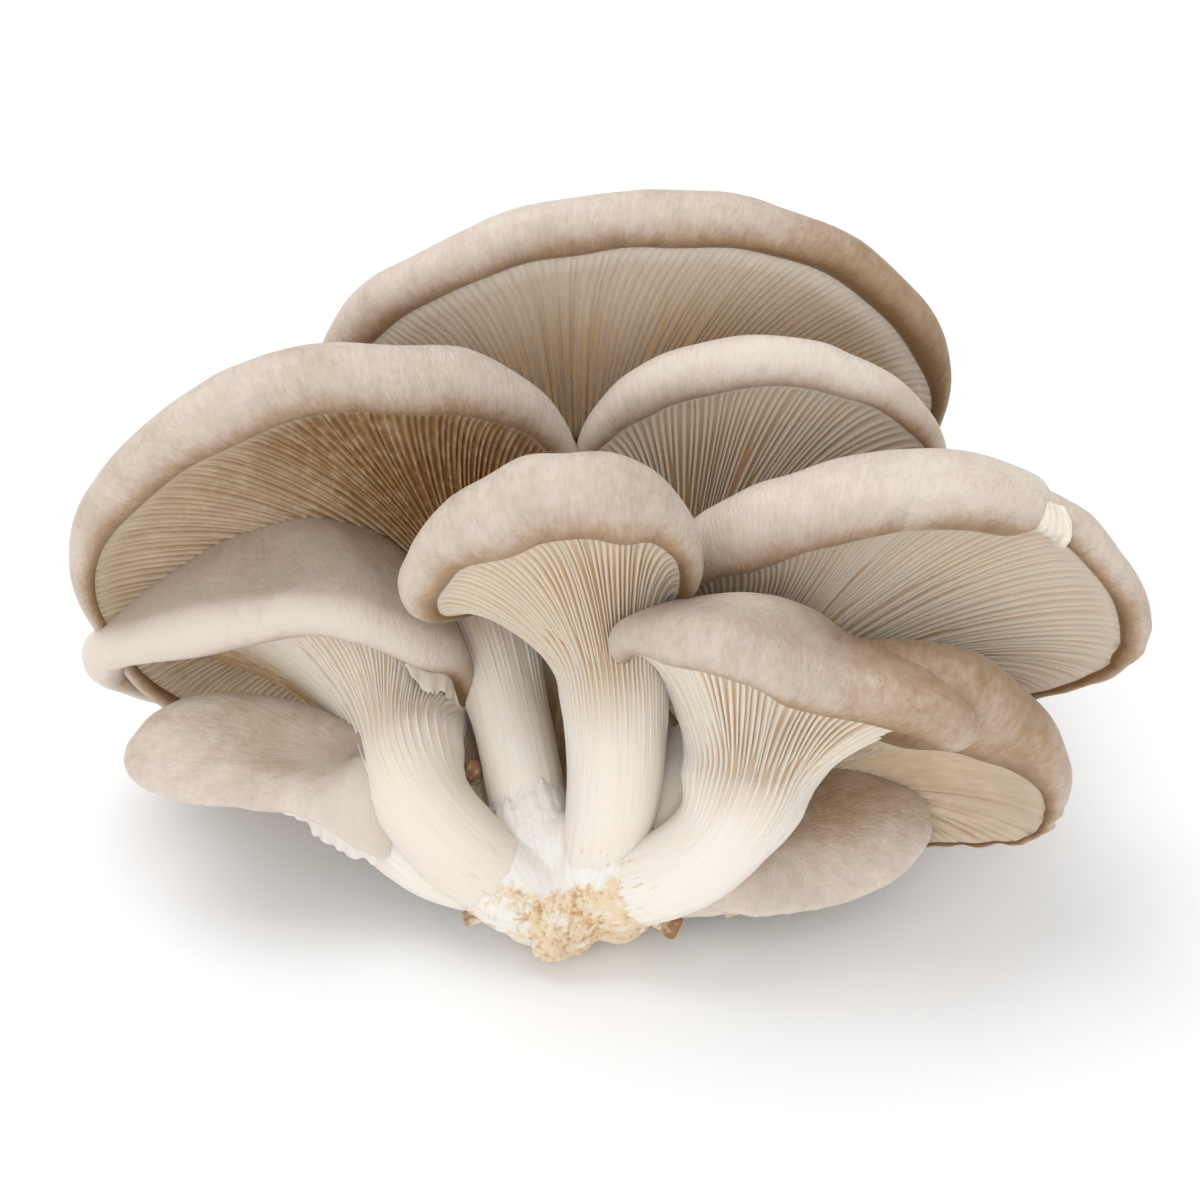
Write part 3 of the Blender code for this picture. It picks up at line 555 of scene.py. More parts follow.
def make_torn():
    """Broken cream flesh with fine layered lines."""
    material, tree, shader = new_finish("torn_flesh", 0.75, 0.0)
    place = node(tree, "TexCoord").outputs["Object"]
    layers = speckle(tree, mark(tree, "grain", "Vector"), 0.5, 3, (1, 0.12, 1), 0.6)
    crumbs = speckle(tree, place, 1.2, 4)
    colour = stained(tree, (0.90, 0.85, 0.77, 1), layers, 0.35, 0.7, (0.78, 0.62, 0.42), 0.5)
    colour = stained(tree, colour, crumbs, 0.5, 0.75, (0.78, 0.60, 0.38), 0.35)
    surface(tree, shader, colour, maths(tree, "ADD", layers, crumbs), 0.3, 0.7)
    return material


def make_young():
    """Pinheads and stubs: tan with a dried brown end, along the tone mark."""
    material, tree, shader = new_finish("young_growth", 0.6, 0.0)
    place = node(tree, "TexCoord").outputs["Object"]
    spots = speckle(tree, place, 1.0, 3)
    brown = swayed(tree, mark(tree, "tone"), spots, 0.3, 0.7, 0.5)
    colour = stained(tree, (0.78, 0.68, 0.52, 1), brown, 0.1, 0.9, (0.30, 0.16, 0.07))
    surface(tree, shader, colour, spots, 0.25, 0.7)
    return material


SKIN, FLESH, FELT, TORN, YOUNG = make_skin(), make_flesh(), make_felt(), make_torn(), make_young()
print("finishes:", [m.name for m in (SKIN, FLESH, FELT, TORN, YOUNG)])

# %% [markdown]
# ## The smooth form of one mushroom
#
# Before any gill is drawn, the mushroom needs its smooth form as a function of two numbers: the
# angle u around it, and v along it.  v runs from -1 at the foot to 0 where the stem opens, on to
# 1 at the crease under the rim, 2 where the rolled margin ends on the skin, and 3 at the crown.
# Rings that followed the stem's curve with a fixed up direction would twist, so each ring's
# direction is carried back from the cap, square to the curve, step by step.

# %% smooth form
CREASE_TURN = 200       # degrees: where the gill side meets the rolled margin on the fan


def plan(name, spec):
    """Works out a mushroom's frame: hub, skin-side direction n, fan direction o, sideways s, the
    crown's highest point, and the stem's centre line with a direction that doesn't twist."""
    spec = USUAL | spec
    hub = np.array(spec["hub"], float)
    n = unit(spec["top"])
    o = np.array(spec["out"], float)
    o = unit(o - (o @ n) * n)
    s = np.cross(n, o)
    high, ahead, aside = spec["crown"]
    peak = hub + high * n + ahead * o + aside * s
    spine = np.array([spec["foot"], *spec["bend"], spec["hub"]], float)
    flare = spec["tune"][0]
    ts = np.linspace(0, flare, 61)
    centre = bezier(spine, ts)
    along = unit(bezier(spine, ts + 1e-3) - bezier(spine, ts - 1e-3))
    second = np.zeros_like(centre)
    second[-1] = unit(s - (s @ along[-1]) * along[-1])
    for k in range(len(ts) - 2, -1, -1):
        second[k] = unit(second[k + 1] - (second[k + 1] @ along[k]) * along[k])
    radius = through(np.linspace(0, 1, len(spec["stem"])), np.array(spec["stem"], float), ts / flare)
    return dict(spec, name=name, seed=sum(map(ord, name)), hub=hub, n=n, o=o, s=s, peak=peak,
                centre=centre, along=along, second=second, first=np.cross(second, along), radius=radius)


def rim(m, u):
    """Reach, lift and roll radius at angle u: the table's smooth values, a slight waviness all the
    way round, and deeper, closer waves where the rim is crinkled."""
    reach, lift, roll = (around(m["rim"], k, u) for k in (1, 2, 3))
    reach = reach + 0.35 * waves(u, (5, 9, 14, 23), m["seed"]) * reach / 40
    lift = lift + 0.35 * waves(u, (4, 7, 13, 19), m["seed"] + 1)
    roll = roll * (1 + 0.05 * waves(u, (6, 11, 17), m["seed"] + 2))
    for start, stop, depth in CRINKLES.get(m["name"], ()):
        a = degrees_from(u)
        inside = ease(a, start, start + 14) * (1 - ease(a, stop - 14, stop))
        reach = reach + inside * depth * waves(u, (53, 71, 97), m["seed"] + 3)
        lift = lift + inside * depth * waves(u, (47, 67, 89), m["seed"] + 4)
        roll = roll * (1 + inside * 0.35 * waves(u, (61, 83), m["seed"] + 5))
    return reach, lift, roll


def outward(m, u):
    """The direction away from the hub at angle u, in the plane of the cap."""
    return np.cos(u)[..., None] * m["o"] + np.sin(u)[..., None] * m["s"]


def on_tube(m, u, turn, reach, lift, roll):
    """A point on a tube around the cap: from the hub, go out by the reach and up by the lift, then
    the roll radius in a direction that turns from outwards (0 degrees) over the skin side (90)."""
    out = outward(m, u)
    return (m["hub"] + reach[..., None] * out + lift[..., None] * m["n"]
            + roll[..., None] * (np.cos(turn)[..., None] * out + np.sin(turn)[..., None] * m["n"]))


def margin(m, u, turn):
    """A point on the rolled margin."""
    return on_tube(m, u, turn, *rim(m, u))


def near_stem(u):
    """1 on the short side behind the stem, 0 on the fan."""
    return ease(np.abs(degrees_from(u)), 95, 155)


def turn_of(m, u, t):
    """The margin's turn angle: t runs from 0 at the crease to 1 on the skin."""
    first = np.radians(CREASE_TURN + 85 * near_stem(u))
    return first + (np.radians(m["tune"][3]) - first) * t


def ring(m, u, v):
    """A point on the stem: out from its centre line by its radius, at angle u."""
    x = (np.clip(v, -1, 0) + 1) * (len(m["radius"]) - 1)
    k = np.minimum(x.astype(int), len(m["radius"]) - 2)
    w = (x - k)[..., None]
    centre, first, second = ((1 - w) * line[k] + w * line[k + 1]
                             for line in (m["centre"], m["first"], m["second"]))
    radius = (1 - w) * m["radius"][k][..., None] + w * m["radius"][k + 1][..., None]
    return centre + radius * (np.cos(u)[..., None] * first + np.sin(u)[..., None] * second)


def underside(m, u, v):
    """Stem and gill side.  Up to v = 0 it is a stem ring.  From there a cubic curve leaves the stem
    along its own direction and reaches the crease from the hub side."""
    u, v = np.broadcast_arrays(u, v)
    start = ring(m, u, np.zeros_like(v))
    crease = margin(m, u, turn_of(m, u, np.zeros_like(u)))
    rise, fan = m["tune"][1:3]
    d = np.linalg.norm(crease - start, axis=-1)[..., None]
    near = near_stem(u)[..., None]
    dip = np.radians(m["dip"])
    fan_end = (np.cos(dip) * outward(m, u) - np.sin(dip) * m["n"]) * d * fan
    near_end = (crease - start) * 0.5 + m["n"] * d * 0.5
    open_part = hermite(start, m["along"][-1] * d * rise, crease, fan_end * (1 - near) + near_end * near,
                        np.clip(v, 0, 1))
    return np.where((v < 0)[..., None], ring(m, u, v), open_part)


def topside(m, u, v):
    """Rolled margin for v from 1 to 2, then a cubic curve over the skin to the crown at v = 3."""
    u, v = np.broadcast_arrays(u, v)
    rolled = margin(m, u, turn_of(m, u, np.clip(v - 1, 0, 1)))
    a = turn_of(m, u, np.ones_like(u))
    edge = margin(m, u, a)
    out = outward(m, u)
    d = np.linalg.norm(edge - m["peak"], axis=-1)[..., None]
    leave = (-np.sin(a)[..., None] * out + np.cos(a)[..., None] * m["n"]) * d * m["tune"][4]
    skin = hermite(edge, leave, m["peak"], -out * d * m["flat"], np.clip(v - 2, 0, 1))
    return np.where((v < 2)[..., None], rolled, skin)


def facing(form, m, u, v, inside, step=2e-3):
    """A form's points and the direction square to it: the cross product of its changes along u
    and along v, turned so that it leads away from a place inside."""
    points = form(m, u, v)
    across = form(m, u + step, v) - form(m, u - step, v)
    length = form(m, u, v + step) - form(m, u, v - step)
    square = unit(np.cross(across, length) + 1e-12)
    return points, square * (np.sign(np.sum(square * (points - inside), axis=-1).mean()) or 1.0)


# %% [markdown]
# ## Gills
#
# A gill is a thin blade that hangs from the cap.  Some reach the stem and run down it, and
# shorter ones fill the gaps towards the rim.  A bump map would give stripes but no depth, and
# the look of an oyster mushroom is all in the depth.  So every blade is real: five columns of the
# mesh follow it, one in the valley before it, one at each foot and one at each edge of its tip.
# The columns wander a little, lean, and keep the blade's thickness as the fan widens.

# %% where the blades run
COLUMNS = 5         # valley, left foot, left edge, right edge, right foot


def blade_angles(m, count):
    """Evenly grown blades: their angles share out the crease's length, softened by a power so
    that the short side keeps some gills too."""
    u = np.linspace(-np.pi, np.pi, 1441)
    crease = margin(m, u, turn_of(m, u, np.zeros_like(u)))
    step = np.linalg.norm(np.diff(crease, axis=0), axis=1)
    share = np.concatenate([[0], np.cumsum((step + 0.08 * step.mean())**0.8)])
    return np.interp((np.arange(count) + 0.5) / count, share / share[-1], u)


def blade_columns(m, v, keep):
    """Angles, depth and height share of the kept columns at each v (a column of values).

    The blade's middle is its own angle, plus a fixed random shift, plus slow waves that change
    along v.  A valley lies midway between two blades.  Feet and edges stand off from the middle
    by a part of the blade's thickness, turned into an angle by the local width of the fan."""
    first, times = m["gills"]
    count = first * times
    rng = np.random.default_rng(m["seed"])
    base = blade_angles(m, count)
    gap = np.diff(np.append(base, base[0] + 2 * np.pi))
    middle = base + rng.uniform(-0.2, 0.2, count) * np.minimum(gap, np.roll(gap, 1))
    starts = rng.uniform(0, 2 * np.pi, (3, 2))
    reach = 0.5 * (1 + np.tanh(3 * v))
    for (p, q), n, size in zip(starts, (2, 5, 11), (0.030, 0.020, 0.010)):
        middle = middle + size * reach * np.sin(n * base + p + (1.1 + 0.3 * n) * v)
        middle = middle + 0.4 * size * reach * np.sin((n + 3) * base + q - 4 * v)
    before = np.concatenate([middle[:, -1:] - 2 * np.pi, middle[:, :-1]], axis=1)
    valley = (middle + before) / 2
    after = np.concatenate([valley[:, 1:], valley[:, :1] + 2 * np.pi], axis=1)
    step = 1e-2
    across = underside(m, middle + step, v) - underside(m, middle - step, v)
    width = np.linalg.norm(across, axis=-1) / (2 * step)
    thick = rng.uniform(0.26, 0.40, count)                      # half the blade's thickness, mm
    thick = thick * (1.25 - 0.35 * ease(v, 0.0, 1.0))
    half = np.minimum(thick / np.maximum(width, 1), 0.42 * np.minimum(middle - valley, after - middle))
    lean = 0.5 * rng.uniform(-1, 1, count) * half * np.sin(3.0 * v + rng.uniform(0, 6.3, count))
    foot, tip = 1.9 * half, 0.75 * half
    angle = np.stack([valley, middle - foot, middle - tip + lean, middle + tip + lean, middle + foot],
                     axis=-1)
    # how tall each blade stands, as a share of the valley's depth
    order = np.arange(count) % times
    begin = np.where(order == 0, rng.uniform(-0.50, -0.22, count), rng.uniform(0.05, 0.30, count))
    if times == 4:
        begin = np.where(order % 2 == 1, rng.uniform(0.34, 0.66, count), begin)
    if times == 3:
        begin = np.where(order == 2, rng.uniform(0.15, 0.55, count), begin)
    grow = ease(v, begin, begin + np.where(order == 0, 0.35, 0.13))
    top = np.where(order == 0, 1.0, rng.uniform(0.66, 0.95, count))
    height = grow * top * (1 - 0.10 * np.sin(9 * v + rng.uniform(0, 6.3, count))**2)
    share = height[..., None] * np.array((0.0, 0.10, 0.96, 0.96, 0.10))
    rows = len(v)
    return angle.reshape(rows, -1)[:, keep], share.reshape(rows, -1)[:, keep]


def valley_depth(m, u, v):
    """How deep the valleys lie under the blade tips, in mm: none low on the stem, most in the
    middle of the gill side, less at the crease, and never more than the rim's flesh allows."""
    full = m["blade"] * ease(v, -0.55, 0.38) * (1 - 0.40 * ease(v, 0.55, 0.9))
    full = full * (1 - 0.85 * near_stem(u)) * (1 - 0.9 * ease(v, 0.90, 1.0))
    room = 0.3 + 0.75 * rim(m, u)[2]
    allowed = room + (m["blade"] - room) * (1 - ease(v, 0.40, 0.85))
    return np.minimum(full, np.maximum(allowed, 0.2))


# %% [markdown]
# ## One whole mushroom
#
# Now the pieces come together in bands: the stem with only the long gills' columns, the gill side
# with more and more of them, then the rolled margin and the skin with one or two columns for each
# blade.  The skin gets a slight unevenness, because grown flesh is never quite smooth.

# %% assemble a mushroom
# where painted shade darkens the flesh between the stems, and how far it spreads
HOLLOW = np.array((-14, 46, 18))    # mm: the dark space between the stems
HOLLOW_SIZE = 16
MANY_BLADES = 130


def swell(points, m, small=0.16, large=0.35):
    """Unevenness of the flesh in mm: a fine cloud and a broad one."""
    return small * cloud(points, 5.0, m["seed"]) + large * cloud(points, 19.0, m["seed"] + 1)


def one_side(u, side):
    """An extra amount around an angle: side holds the angle and the width in degrees, and the
    amount, which falls off as a bell."""
    angle, width, extra = side
    return extra * np.exp(-(degrees_from(u, angle) / width)**2)


def surface_tone(m, u, v, points):
    """How brown the surface is.  Skin: browner on one side, partly painted light and shade; browner at
    the crease, partly the darker fibres there and partly painted shade under the roll; and browner
    towards the crown.  Flesh: one tint on the stem and one on the gills, with painted shade on one
    side and deep between the stems."""
    base, crown, *side = m["tone"]
    # browner low on the rolled margin: partly its darker fibres, partly painted shade on the roll's
    # underside
    lip = 0.72 * (1 - ease(v, 1.0, 1.55))
    # the one-sided extra is partly painted light and shade
    skin = base + one_side(u, side) + crown * ease(v, 1.6, 2.7) + lip
    skin = skin + 0.12 * cloud(points, 26.0, m["seed"] + 7)
    gills = ease(v, -0.2, 0.4)
    flesh = m["cream"] * gills + m["stem_tone"] * (1 - gills)
    # painted shade: darker gills on the side of the cap that lies in shade
    flesh = flesh + one_side(u, m["shade"]) * ease(v, -0.1, 0.35) * (1 - 0.8 * ease(v, 0.86, 1.0))
    # painted shade: darker flesh deep in the space between the stems
    flesh = flesh + m["hollow"] * np.exp(-np.sum((points - HOLLOW)**2, axis=-1) / HOLLOW_SIZE**2)
    return np.where(v <= 1.0, flesh, skin)


def mushroom(name, spec):
    """Bands of rings from the foot to the crown, with their marks, as one closed mesh."""
    m = plan(name, spec)
    first, times = m["gills"]
    ids = np.arange(first * times * COLUMNS)
    order = (ids // COLUMNS) % times        # 0 for a gill that reaches the stem
    column = ids % COLUMNS
    on_stem = ids[(order == 0) | (column == 0)]
    on_half = ids[(order % 2 == 0) | (column == 0)] if times == 4 else ids
    # the skin needs two columns for each blade, or one where the blades are many
    on_skin = ids[(column == 0) | (column == 2)] if first * times < MANY_BLADES else ids[column == 0]
    stem_rows, gill_rows, skin_rows = m["rows"]
    stem_v = np.concatenate([-1 + np.linspace(0, 1, stem_rows)**0.9, [0.03]])
    half_v = np.linspace(0.07, 0.34, gill_rows // 3) if times == 4 else np.zeros(0)
    open_v = np.linspace(0.36 if times == 4 else 0.07, 1.0, gill_rows - len(half_v))
    bands = []
    for v, keep in ((stem_v, on_stem), (half_v, on_half), (open_v, ids)):
        if not len(v):
            continue
        v = v[:, None]
        u, share = blade_columns(m, v, keep)
        smooth, away = facing(underside, m, u, v, m["hub"] - 8 * m["n"])
        sink = valley_depth(m, u, v) * (1 - share)
        bulge = swell(smooth, m, 0.10, 0.30) * (1 - ease(v, 0.2, 0.6)) * ease(v, -1.0, -0.7)
        points = smooth + away * (bulge - sink)[..., None]
        # how deep each point lies in its valley, scaled by contrast: it drives the painted shade between
        # the blades
        deep = sink / m["blade"] * m["contrast"]
        bands.append((points, keep, u, np.broadcast_to(v, u.shape), deep))
    skin_cols, _ = blade_columns(m, np.ones((1, 1)), on_skin)
    v = np.concatenate([np.linspace(1.02, 2, 15), 2 + np.linspace(0, 0.97, skin_rows)[1:]**0.85])
    inner = v > 2.62            # near the crown every second column is enough
    for rows, keep in ((v[~inner], on_skin), (v[inner], on_skin[::2])):
        rows = rows[:, None]
        u = np.repeat(skin_cols[:, np.isin(on_skin, keep)], len(rows), axis=0)
        smooth, away = facing(topside, m, u, rows, m["hub"])
        lift = swell(smooth, m) * ease(rows, 1.0, 1.25)
        points = smooth + away * lift[..., None]
        bands.append((points, keep, u, np.broadcast_to(rows, u.shape), np.zeros(u.shape)))
    return m, bands


def close_bands(m, bands):
    """Numbers the rings of all bands, joins them, and adds the poles at the foot and the crown."""
    quads, tris, starts, total = [], [], [], 0
    for points, *_ in bands:
        rows, cols = points.shape[:2]
        starts.append(total)
        quads.append(grid_faces(total, rows, cols))
        total += rows * cols
    for k in range(len(bands) - 1):
        (points, keep, *_), (_, other, *_) = bands[k], bands[k + 1]
        last = starts[k] + (points.shape[0] - 1) * points.shape[1]
        tris.append(join_faces(last, keep, starts[k + 1], other))
    foot, crown = total, total + 1
    tris.append(pole_faces(0, bands[0][0].shape[1], foot, False))
    tris.append(pole_faces(total - bands[-1][0].shape[1], bands[-1][0].shape[1], crown, True))
    foot_point = m["centre"][0] - m["along"][0] * m["radius"][0] * 0.5
    points = np.concatenate([b[0].reshape(-1, 3) for b in bands] + [[foot_point, m["peak"]]])
    # how far each ring lies along the mushroom, so that patterns follow the growth
    jump = 1.5                                                  # mm from one band to the next
    far, path = -jump, []
    for rings, *_ in bands:
        steps = np.linalg.norm(np.diff(rings, axis=0), axis=-1).mean(axis=1)
        along = far + jump + np.concatenate([[0], np.cumsum(steps)])
        far = along[-1]
        path.append(np.repeat(along, rings.shape[1]))
    path = np.concatenate(path + [[-3.0, far + 2]])
    u = np.concatenate([b[2].ravel() for b in bands] + [[0, 0]])
    v = np.concatenate([b[3].ravel() for b in bands] + [[-1, 3]])
    girth = np.where(v < 0, m["radius"].mean(), 0)
    girth = np.maximum(girth, 9 + ease(v, 0, 1) * (around(m["rim"], 1, u).mean() - 9))
    grain = wrapped(girth, u, path) * MM
    cavity = np.concatenate([b[4].ravel() for b in bands] + [[0, 0]])
    under = sum(b[0].shape[0] * b[0].shape[1] for b in bands[:-2])
    marks = {"grain": grain, "run": v, "cavity": cavity, "tone": surface_tone(m, u, v, points)}
    return points, np.concatenate(quads), np.concatenate(tris), under, marks


def make_mushroom(name, spec):
    """Builds, closes and names one mushroom, lets it stand for its solid, and returns its plan."""
    m, bands = mushroom(name, spec)
    points, quads, tris, under, marks = close_bands(m, bands)
    obj = mesh_object(name + "_look", points, quads, tris, (SKIN, FLESH), under, marks)
    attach(obj, "root")
    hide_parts(name)
    return m


made = {}
for name, spec in MUSHROOMS.items():
    made[name] = make_mushroom(name, spec)

# %% [markdown]
# ## The felted base
#
# All stems grow from one lump of white threads, stained where it was cut from its log.  It has
# to flow into every stem foot, so it is worked out as a blend: the distance to a set of balls,
# in the lump and along each foot, joined softly.  Rays from inside find where that distance is
# zero, which gives a surface over two angles that wraps lump and feet in one skin.

# %% base
BASE_BALLS = ((-9, 4.5, 4.2, 4.2), (-7, 9, 6.5, 8.0), (-12, 11, 7, 8), (3, 12, 7, 8), (-5, 18, 8, 10),
              (-14, 19, 8, 8), (4, 20, 8, 8), (-5, 27, 9, 8.5), (-8, 19, 16, 6))
# points of a stem's centre line, and how much fatter than the stem the ball there is, in mm
FOOT_STEPS = ((0, 0.4), (3, 0.4), (6, 0.2), (9, -0.1), (12, -0.7), (16, -1.5))


def feet_balls():
    """Groups of balls (x, y, z, radius): the lump's own, then six along the first part of every
    stem, slightly fatter than the stem at its foot and thinner further up, so that the felt thins
    out on it."""
    groups = [np.array(BASE_BALLS, float)]
    for m in made.values():
        groups.append(np.array([(*m["centre"][k], m["radius"][k] + extra) for k, extra in FOOT_STEPS]))
    return groups


def blend_distance(points, groups, softness=0.8):
    """Distance to the nearest ball of each group, and the groups joined softly: minus the log of
    the summed exponentials of minus each distance.  The second value says how much of a crease
    a point lies in: 0 on one group alone, more where two or three meet."""
    near = np.stack([(np.linalg.norm(points[..., None, :] - g[:, :3], axis=-1) - g[:, 3]).min(axis=-1)
                     for g in groups], axis=-1)
    joined = -np.log(np.sum(np.exp(-near / softness), axis=-1)) * softness
    return joined, (near.min(axis=-1) - joined) / softness


def felt_base():
    """Rays leave an axis inside the lump: theta turns around it, phi from the tip to the top.
    Halving the search interval again and again finds where each ray leaves the blend."""
    rows, columns = 170, 280
    phi = np.linspace(0, np.pi, rows + 2)[1:-1, None]
    theta = np.linspace(-np.pi, np.pi, columns, endpoint=False)[None, :]
    lean = (1 - np.cos(phi)) / 2
    origin = (1 - lean)[..., None] * np.array((-6, 6.0, 5.0))
    origin = origin + lean[..., None] * np.array((-5, 20.0, 9.0))
    ray = np.stack([np.sin(phi) * np.cos(theta), -np.cos(phi) + 0 * theta,
                    np.sin(phi) * np.sin(theta)], -1)
    groups = feet_balls()
    longest = 26.0                                              # mm: outside the blend everywhere
    inside, outside = np.zeros(ray.shape[:2]), np.full(ray.shape[:2], longest)
    for _ in range(16):
        middle = (inside + outside) / 2
        within = blend_distance(origin + ray * middle[..., None], groups)[0] < 0
        inside, outside = np.where(within, middle, inside), np.where(within, outside, middle)
    points = origin + ray * inside[..., None]
    crease = blend_distance(points, groups)[1]
    cut = 1 - ease(points[..., 1] + 0.4 * points[..., 2], 9, 17)
    lumps = 0.6 * np.abs(cloud(points, 3.0, 3)) + 0.5 * np.abs(cloud(points, 1.4, 4)) - 0.35
    strands = np.sin(23 * theta + 2.5 * cloud(points, 5.0, 6) + 0.3 * points[..., 1])
    rough = (1.0 * cut * lumps + 0.13 * (1 - 0.4 * cut) * ease(np.sin(phi), 0.1, 0.6) * strands
             + (0.10 + 0.22 * cut) * cloud(points, 0.8, 5) - 0.45 * crease)
    points = points + ray * rough[..., None]
    points[..., 2] = np.maximum(points[..., 2], 0.25 - SHIFT[2])
    return points, rough, theta + 0 * phi


def make_base():
    """Closes the felt surface with a pole at each end and marks the stain."""
    points, rough, theta = felt_base()
    flat, quads, tris = capped(points, points[0].mean(axis=0))
    high = flat[:, 1] + 0.45 * flat[:, 2] + 2.0 * cloud(flat, 5, 9)
    stain = 0.92 - 1.35 * ease(high, 9, 18) + 0.40 * np.exp(-((high - 13) / 2.5)**2)
    stain = stain - 0.6 * ease(-flat[:, 0], 11, 17) * (1 - ease(high, 9, 13))
    turn = np.append(theta.ravel(), (0, 0))
    grain = wrapped(12, turn, flat[:, 1]) * MM
    cracks = np.append(0.4 - rough.ravel() / 1.2, (0.5, 0.5))
    obj = mesh_object("base_look", flat, quads, tris, (FELT,), None,
                      {"grain": grain, "tone": stain, "cavity": cracks})
    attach(obj, "root")
    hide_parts("base_clump")


make_base()

# %% [markdown]
# ## Felt sleeve, torn edges and loose threads
#
# The felt creeps up the stem in the middle as a thin ragged sleeve.  Where a rim was torn in
# picking, a frayed strip of white flesh shows under it.  Both are thin sheets, so one helper
# gives any sheet of points a thickness and closes its edge.

# %% sheets with a thickness
def sheet_object(name, points, thickness, material, closed=False):
    """A closed solid from a grid of points: the grid pushed out and in by half of a thickness that
    tapers towards its last row, with its borders joined.  closed means that the columns wrap."""
    rows, columns = points.shape[:2]
    along = np.gradient(points, axis=0)
    if closed:
        across = (np.roll(points, -1, 1) - np.roll(points, 1, 1)) / 2
    else:
        across = np.gradient(points, axis=1)
    square = unit(np.cross(across, along) + 1e-9)
    half = thickness / 2 * (1 - 0.75 * np.linspace(0, 1, rows)[:, None, None]**2)
    front, back = points + square * half, points - square * half
    flat = np.concatenate([front.reshape(-1, 3), back.reshape(-1, 3)])
    total = rows * columns
    i = np.arange(columns if closed else columns - 1)
    j = (i + 1) % columns
    k = np.arange(rows - 1)[:, None] * columns
    face = np.stack([k + i, k + j, k + j + columns, k + i + columns], -1).reshape(-1, 4)
    last = total - columns
    edges = [np.stack([i, i + total, j + total, j], -1),
             np.stack([i + last, j + last, j + last + total, i + last + total], -1)]
    if not closed:
        r = np.arange(rows - 1) * columns
        edges.append(np.stack([r, r + columns, r + columns + total, r + total], -1))
        r = r + columns - 1
        edges.append(np.stack([r, r + total, r + columns + total, r + columns], -1))
    quads = np.concatenate([face, face[:, ::-1] + total, *edges])
    run = np.repeat(np.linspace(0, 1, rows), columns)
    grain = wrapped(9, np.tile(np.linspace(0, 2 * np.pi, columns), rows), 10 * run) * MM
    marks = {"grain": np.tile(grain, (2, 1)), "tone": np.zeros(2 * total), "run": np.tile(run, 2),
             "cavity": np.full(2 * total, 0.1)}
    obj = mesh_object(name, flat, quads, np.zeros((0, 3), int), (material,), None, marks)
    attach(obj, "root")


# %% felt that creeps up the middle stem
def felt_sleeve(m, top, ragged):
    """Rings of the stem from its foot to a ragged height, a little outside the stem's surface.
    top is the run v that the felt reaches, and ragged how far it goes up and down around it."""
    u = np.linspace(-np.pi, np.pi, 220, endpoint=False)[None, :]
    share = np.linspace(0, 1, 40)[:, None]
    circle = wrapped(8, u, 0)
    teeth = cloud(circle, 1.3, m["seed"] + 3)
    broad = cloud(circle, 6.0, m["seed"] + 4)
    high = top + ragged * (0.55 * teeth + 0.9 * broad)
    v = -1 + share * (high + 1)
    smooth = ring(m, u + 0 * v, v)
    away = unit(smooth - smooth.mean(axis=1, keepdims=True))
    fluff = 0.7 + 0.30 * cloud(smooth, 1.8, 21) + 0.18 * cloud(smooth, 0.8, 22)
    lift = fluff * (1 - share**5) - 0.35 * share**12
    points = smooth + away * lift[..., None]
    sheet_object(m["name"] + "_felt", points, 0.9, FELT, True)


felt_sleeve(made["mushroom_upper_left"], -0.67, 0.06)


# %% torn rims
def torn_edge(name, m, start, stop, turn, push, width, flutes, fray, finish=TORN):
    """A strip that hangs from the margin between two angles around the cap.  It leaves the margin
    at a turn angle, goes along push (shares of outwards and of the skin side), waves in flutes
    and frays towards its free edge."""
    s = np.linspace(0, 1, 150)[None, :]
    w = np.linspace(0, 1, 16)[:, None]
    u = np.radians(start + (stop - start) * s)
    root = margin(m, u, np.radians(turn) + 0 * u)
    away = unit(push[0] * outward(m, u) + push[1] * m["n"])
    tangent = unit(np.gradient(root, axis=1))
    side = unit(np.cross(away, tangent))
    edge = 0.85 + fray * cloud(root, 3.0, 31) + 0.8 * fray * cloud(root, 0.8, 32)
    reach = width * np.sin(np.pi * s)**0.5 * edge
    ripple = w * (0.35 * np.sin(flutes * s * 2 * np.pi) + 0.5 * cloud(root, 2.5, 33))
    points = root + away * (w * reach)[..., None] + side * ripple[..., None]
    sheet_object(name, points, 0.6, finish)


torn_edge("mushroom_lower_left_torn_gills", made["mushroom_lower_left"], 34, 118, 255, (0.45, -0.9),
          5.6, 7, 0.12, FLESH)
torn_edge("mushroom_left_torn_rim", made["mushroom_left"], 86, 132, 235, (-0.1, -1.0), 5.2, 4, 0.22)
torn_edge("mushroom_left_torn_lip", made["mushroom_left"], 92, 138, 215, (-0.5, -0.8), 4.6, 4, 0.22)


# %% the split rim of the right mushroom
def torn_patch(name, m, start, stop, low, high):
    """Broken flesh laid bare on the rolled margin, between two angles around the cap and two turn
    angles: a thin layer on the margin with the arcs of its growth layers and a raised far edge."""
    w = np.linspace(0, 1, 90)[None, :]
    s = np.linspace(0, 1, 60)[:, None]
    u = np.radians(start + (stop - start) * w * (1 - 0.45 * s**2))
    turn = np.radians(low + (high - low) * s)
    on_rim = margin(m, u, turn)
    away = np.cos(turn)[..., None] * outward(m, u) + np.sin(turn)[..., None] * m["n"]
    layers = 0.13 * np.sin(2 * np.pi * 9 * w) + 0.08 * cloud(on_rim, 0.9, 41)
    edge = 0.55 * ease(w, 0.78, 0.95) + 0.25 * cloud(on_rim, 1.5, 42) * ease(w, 0.6, 0.9)
    points = on_rim + away * (0.30 + layers + edge)[..., None]
    sheet_object(name, points, 0.7, TORN)


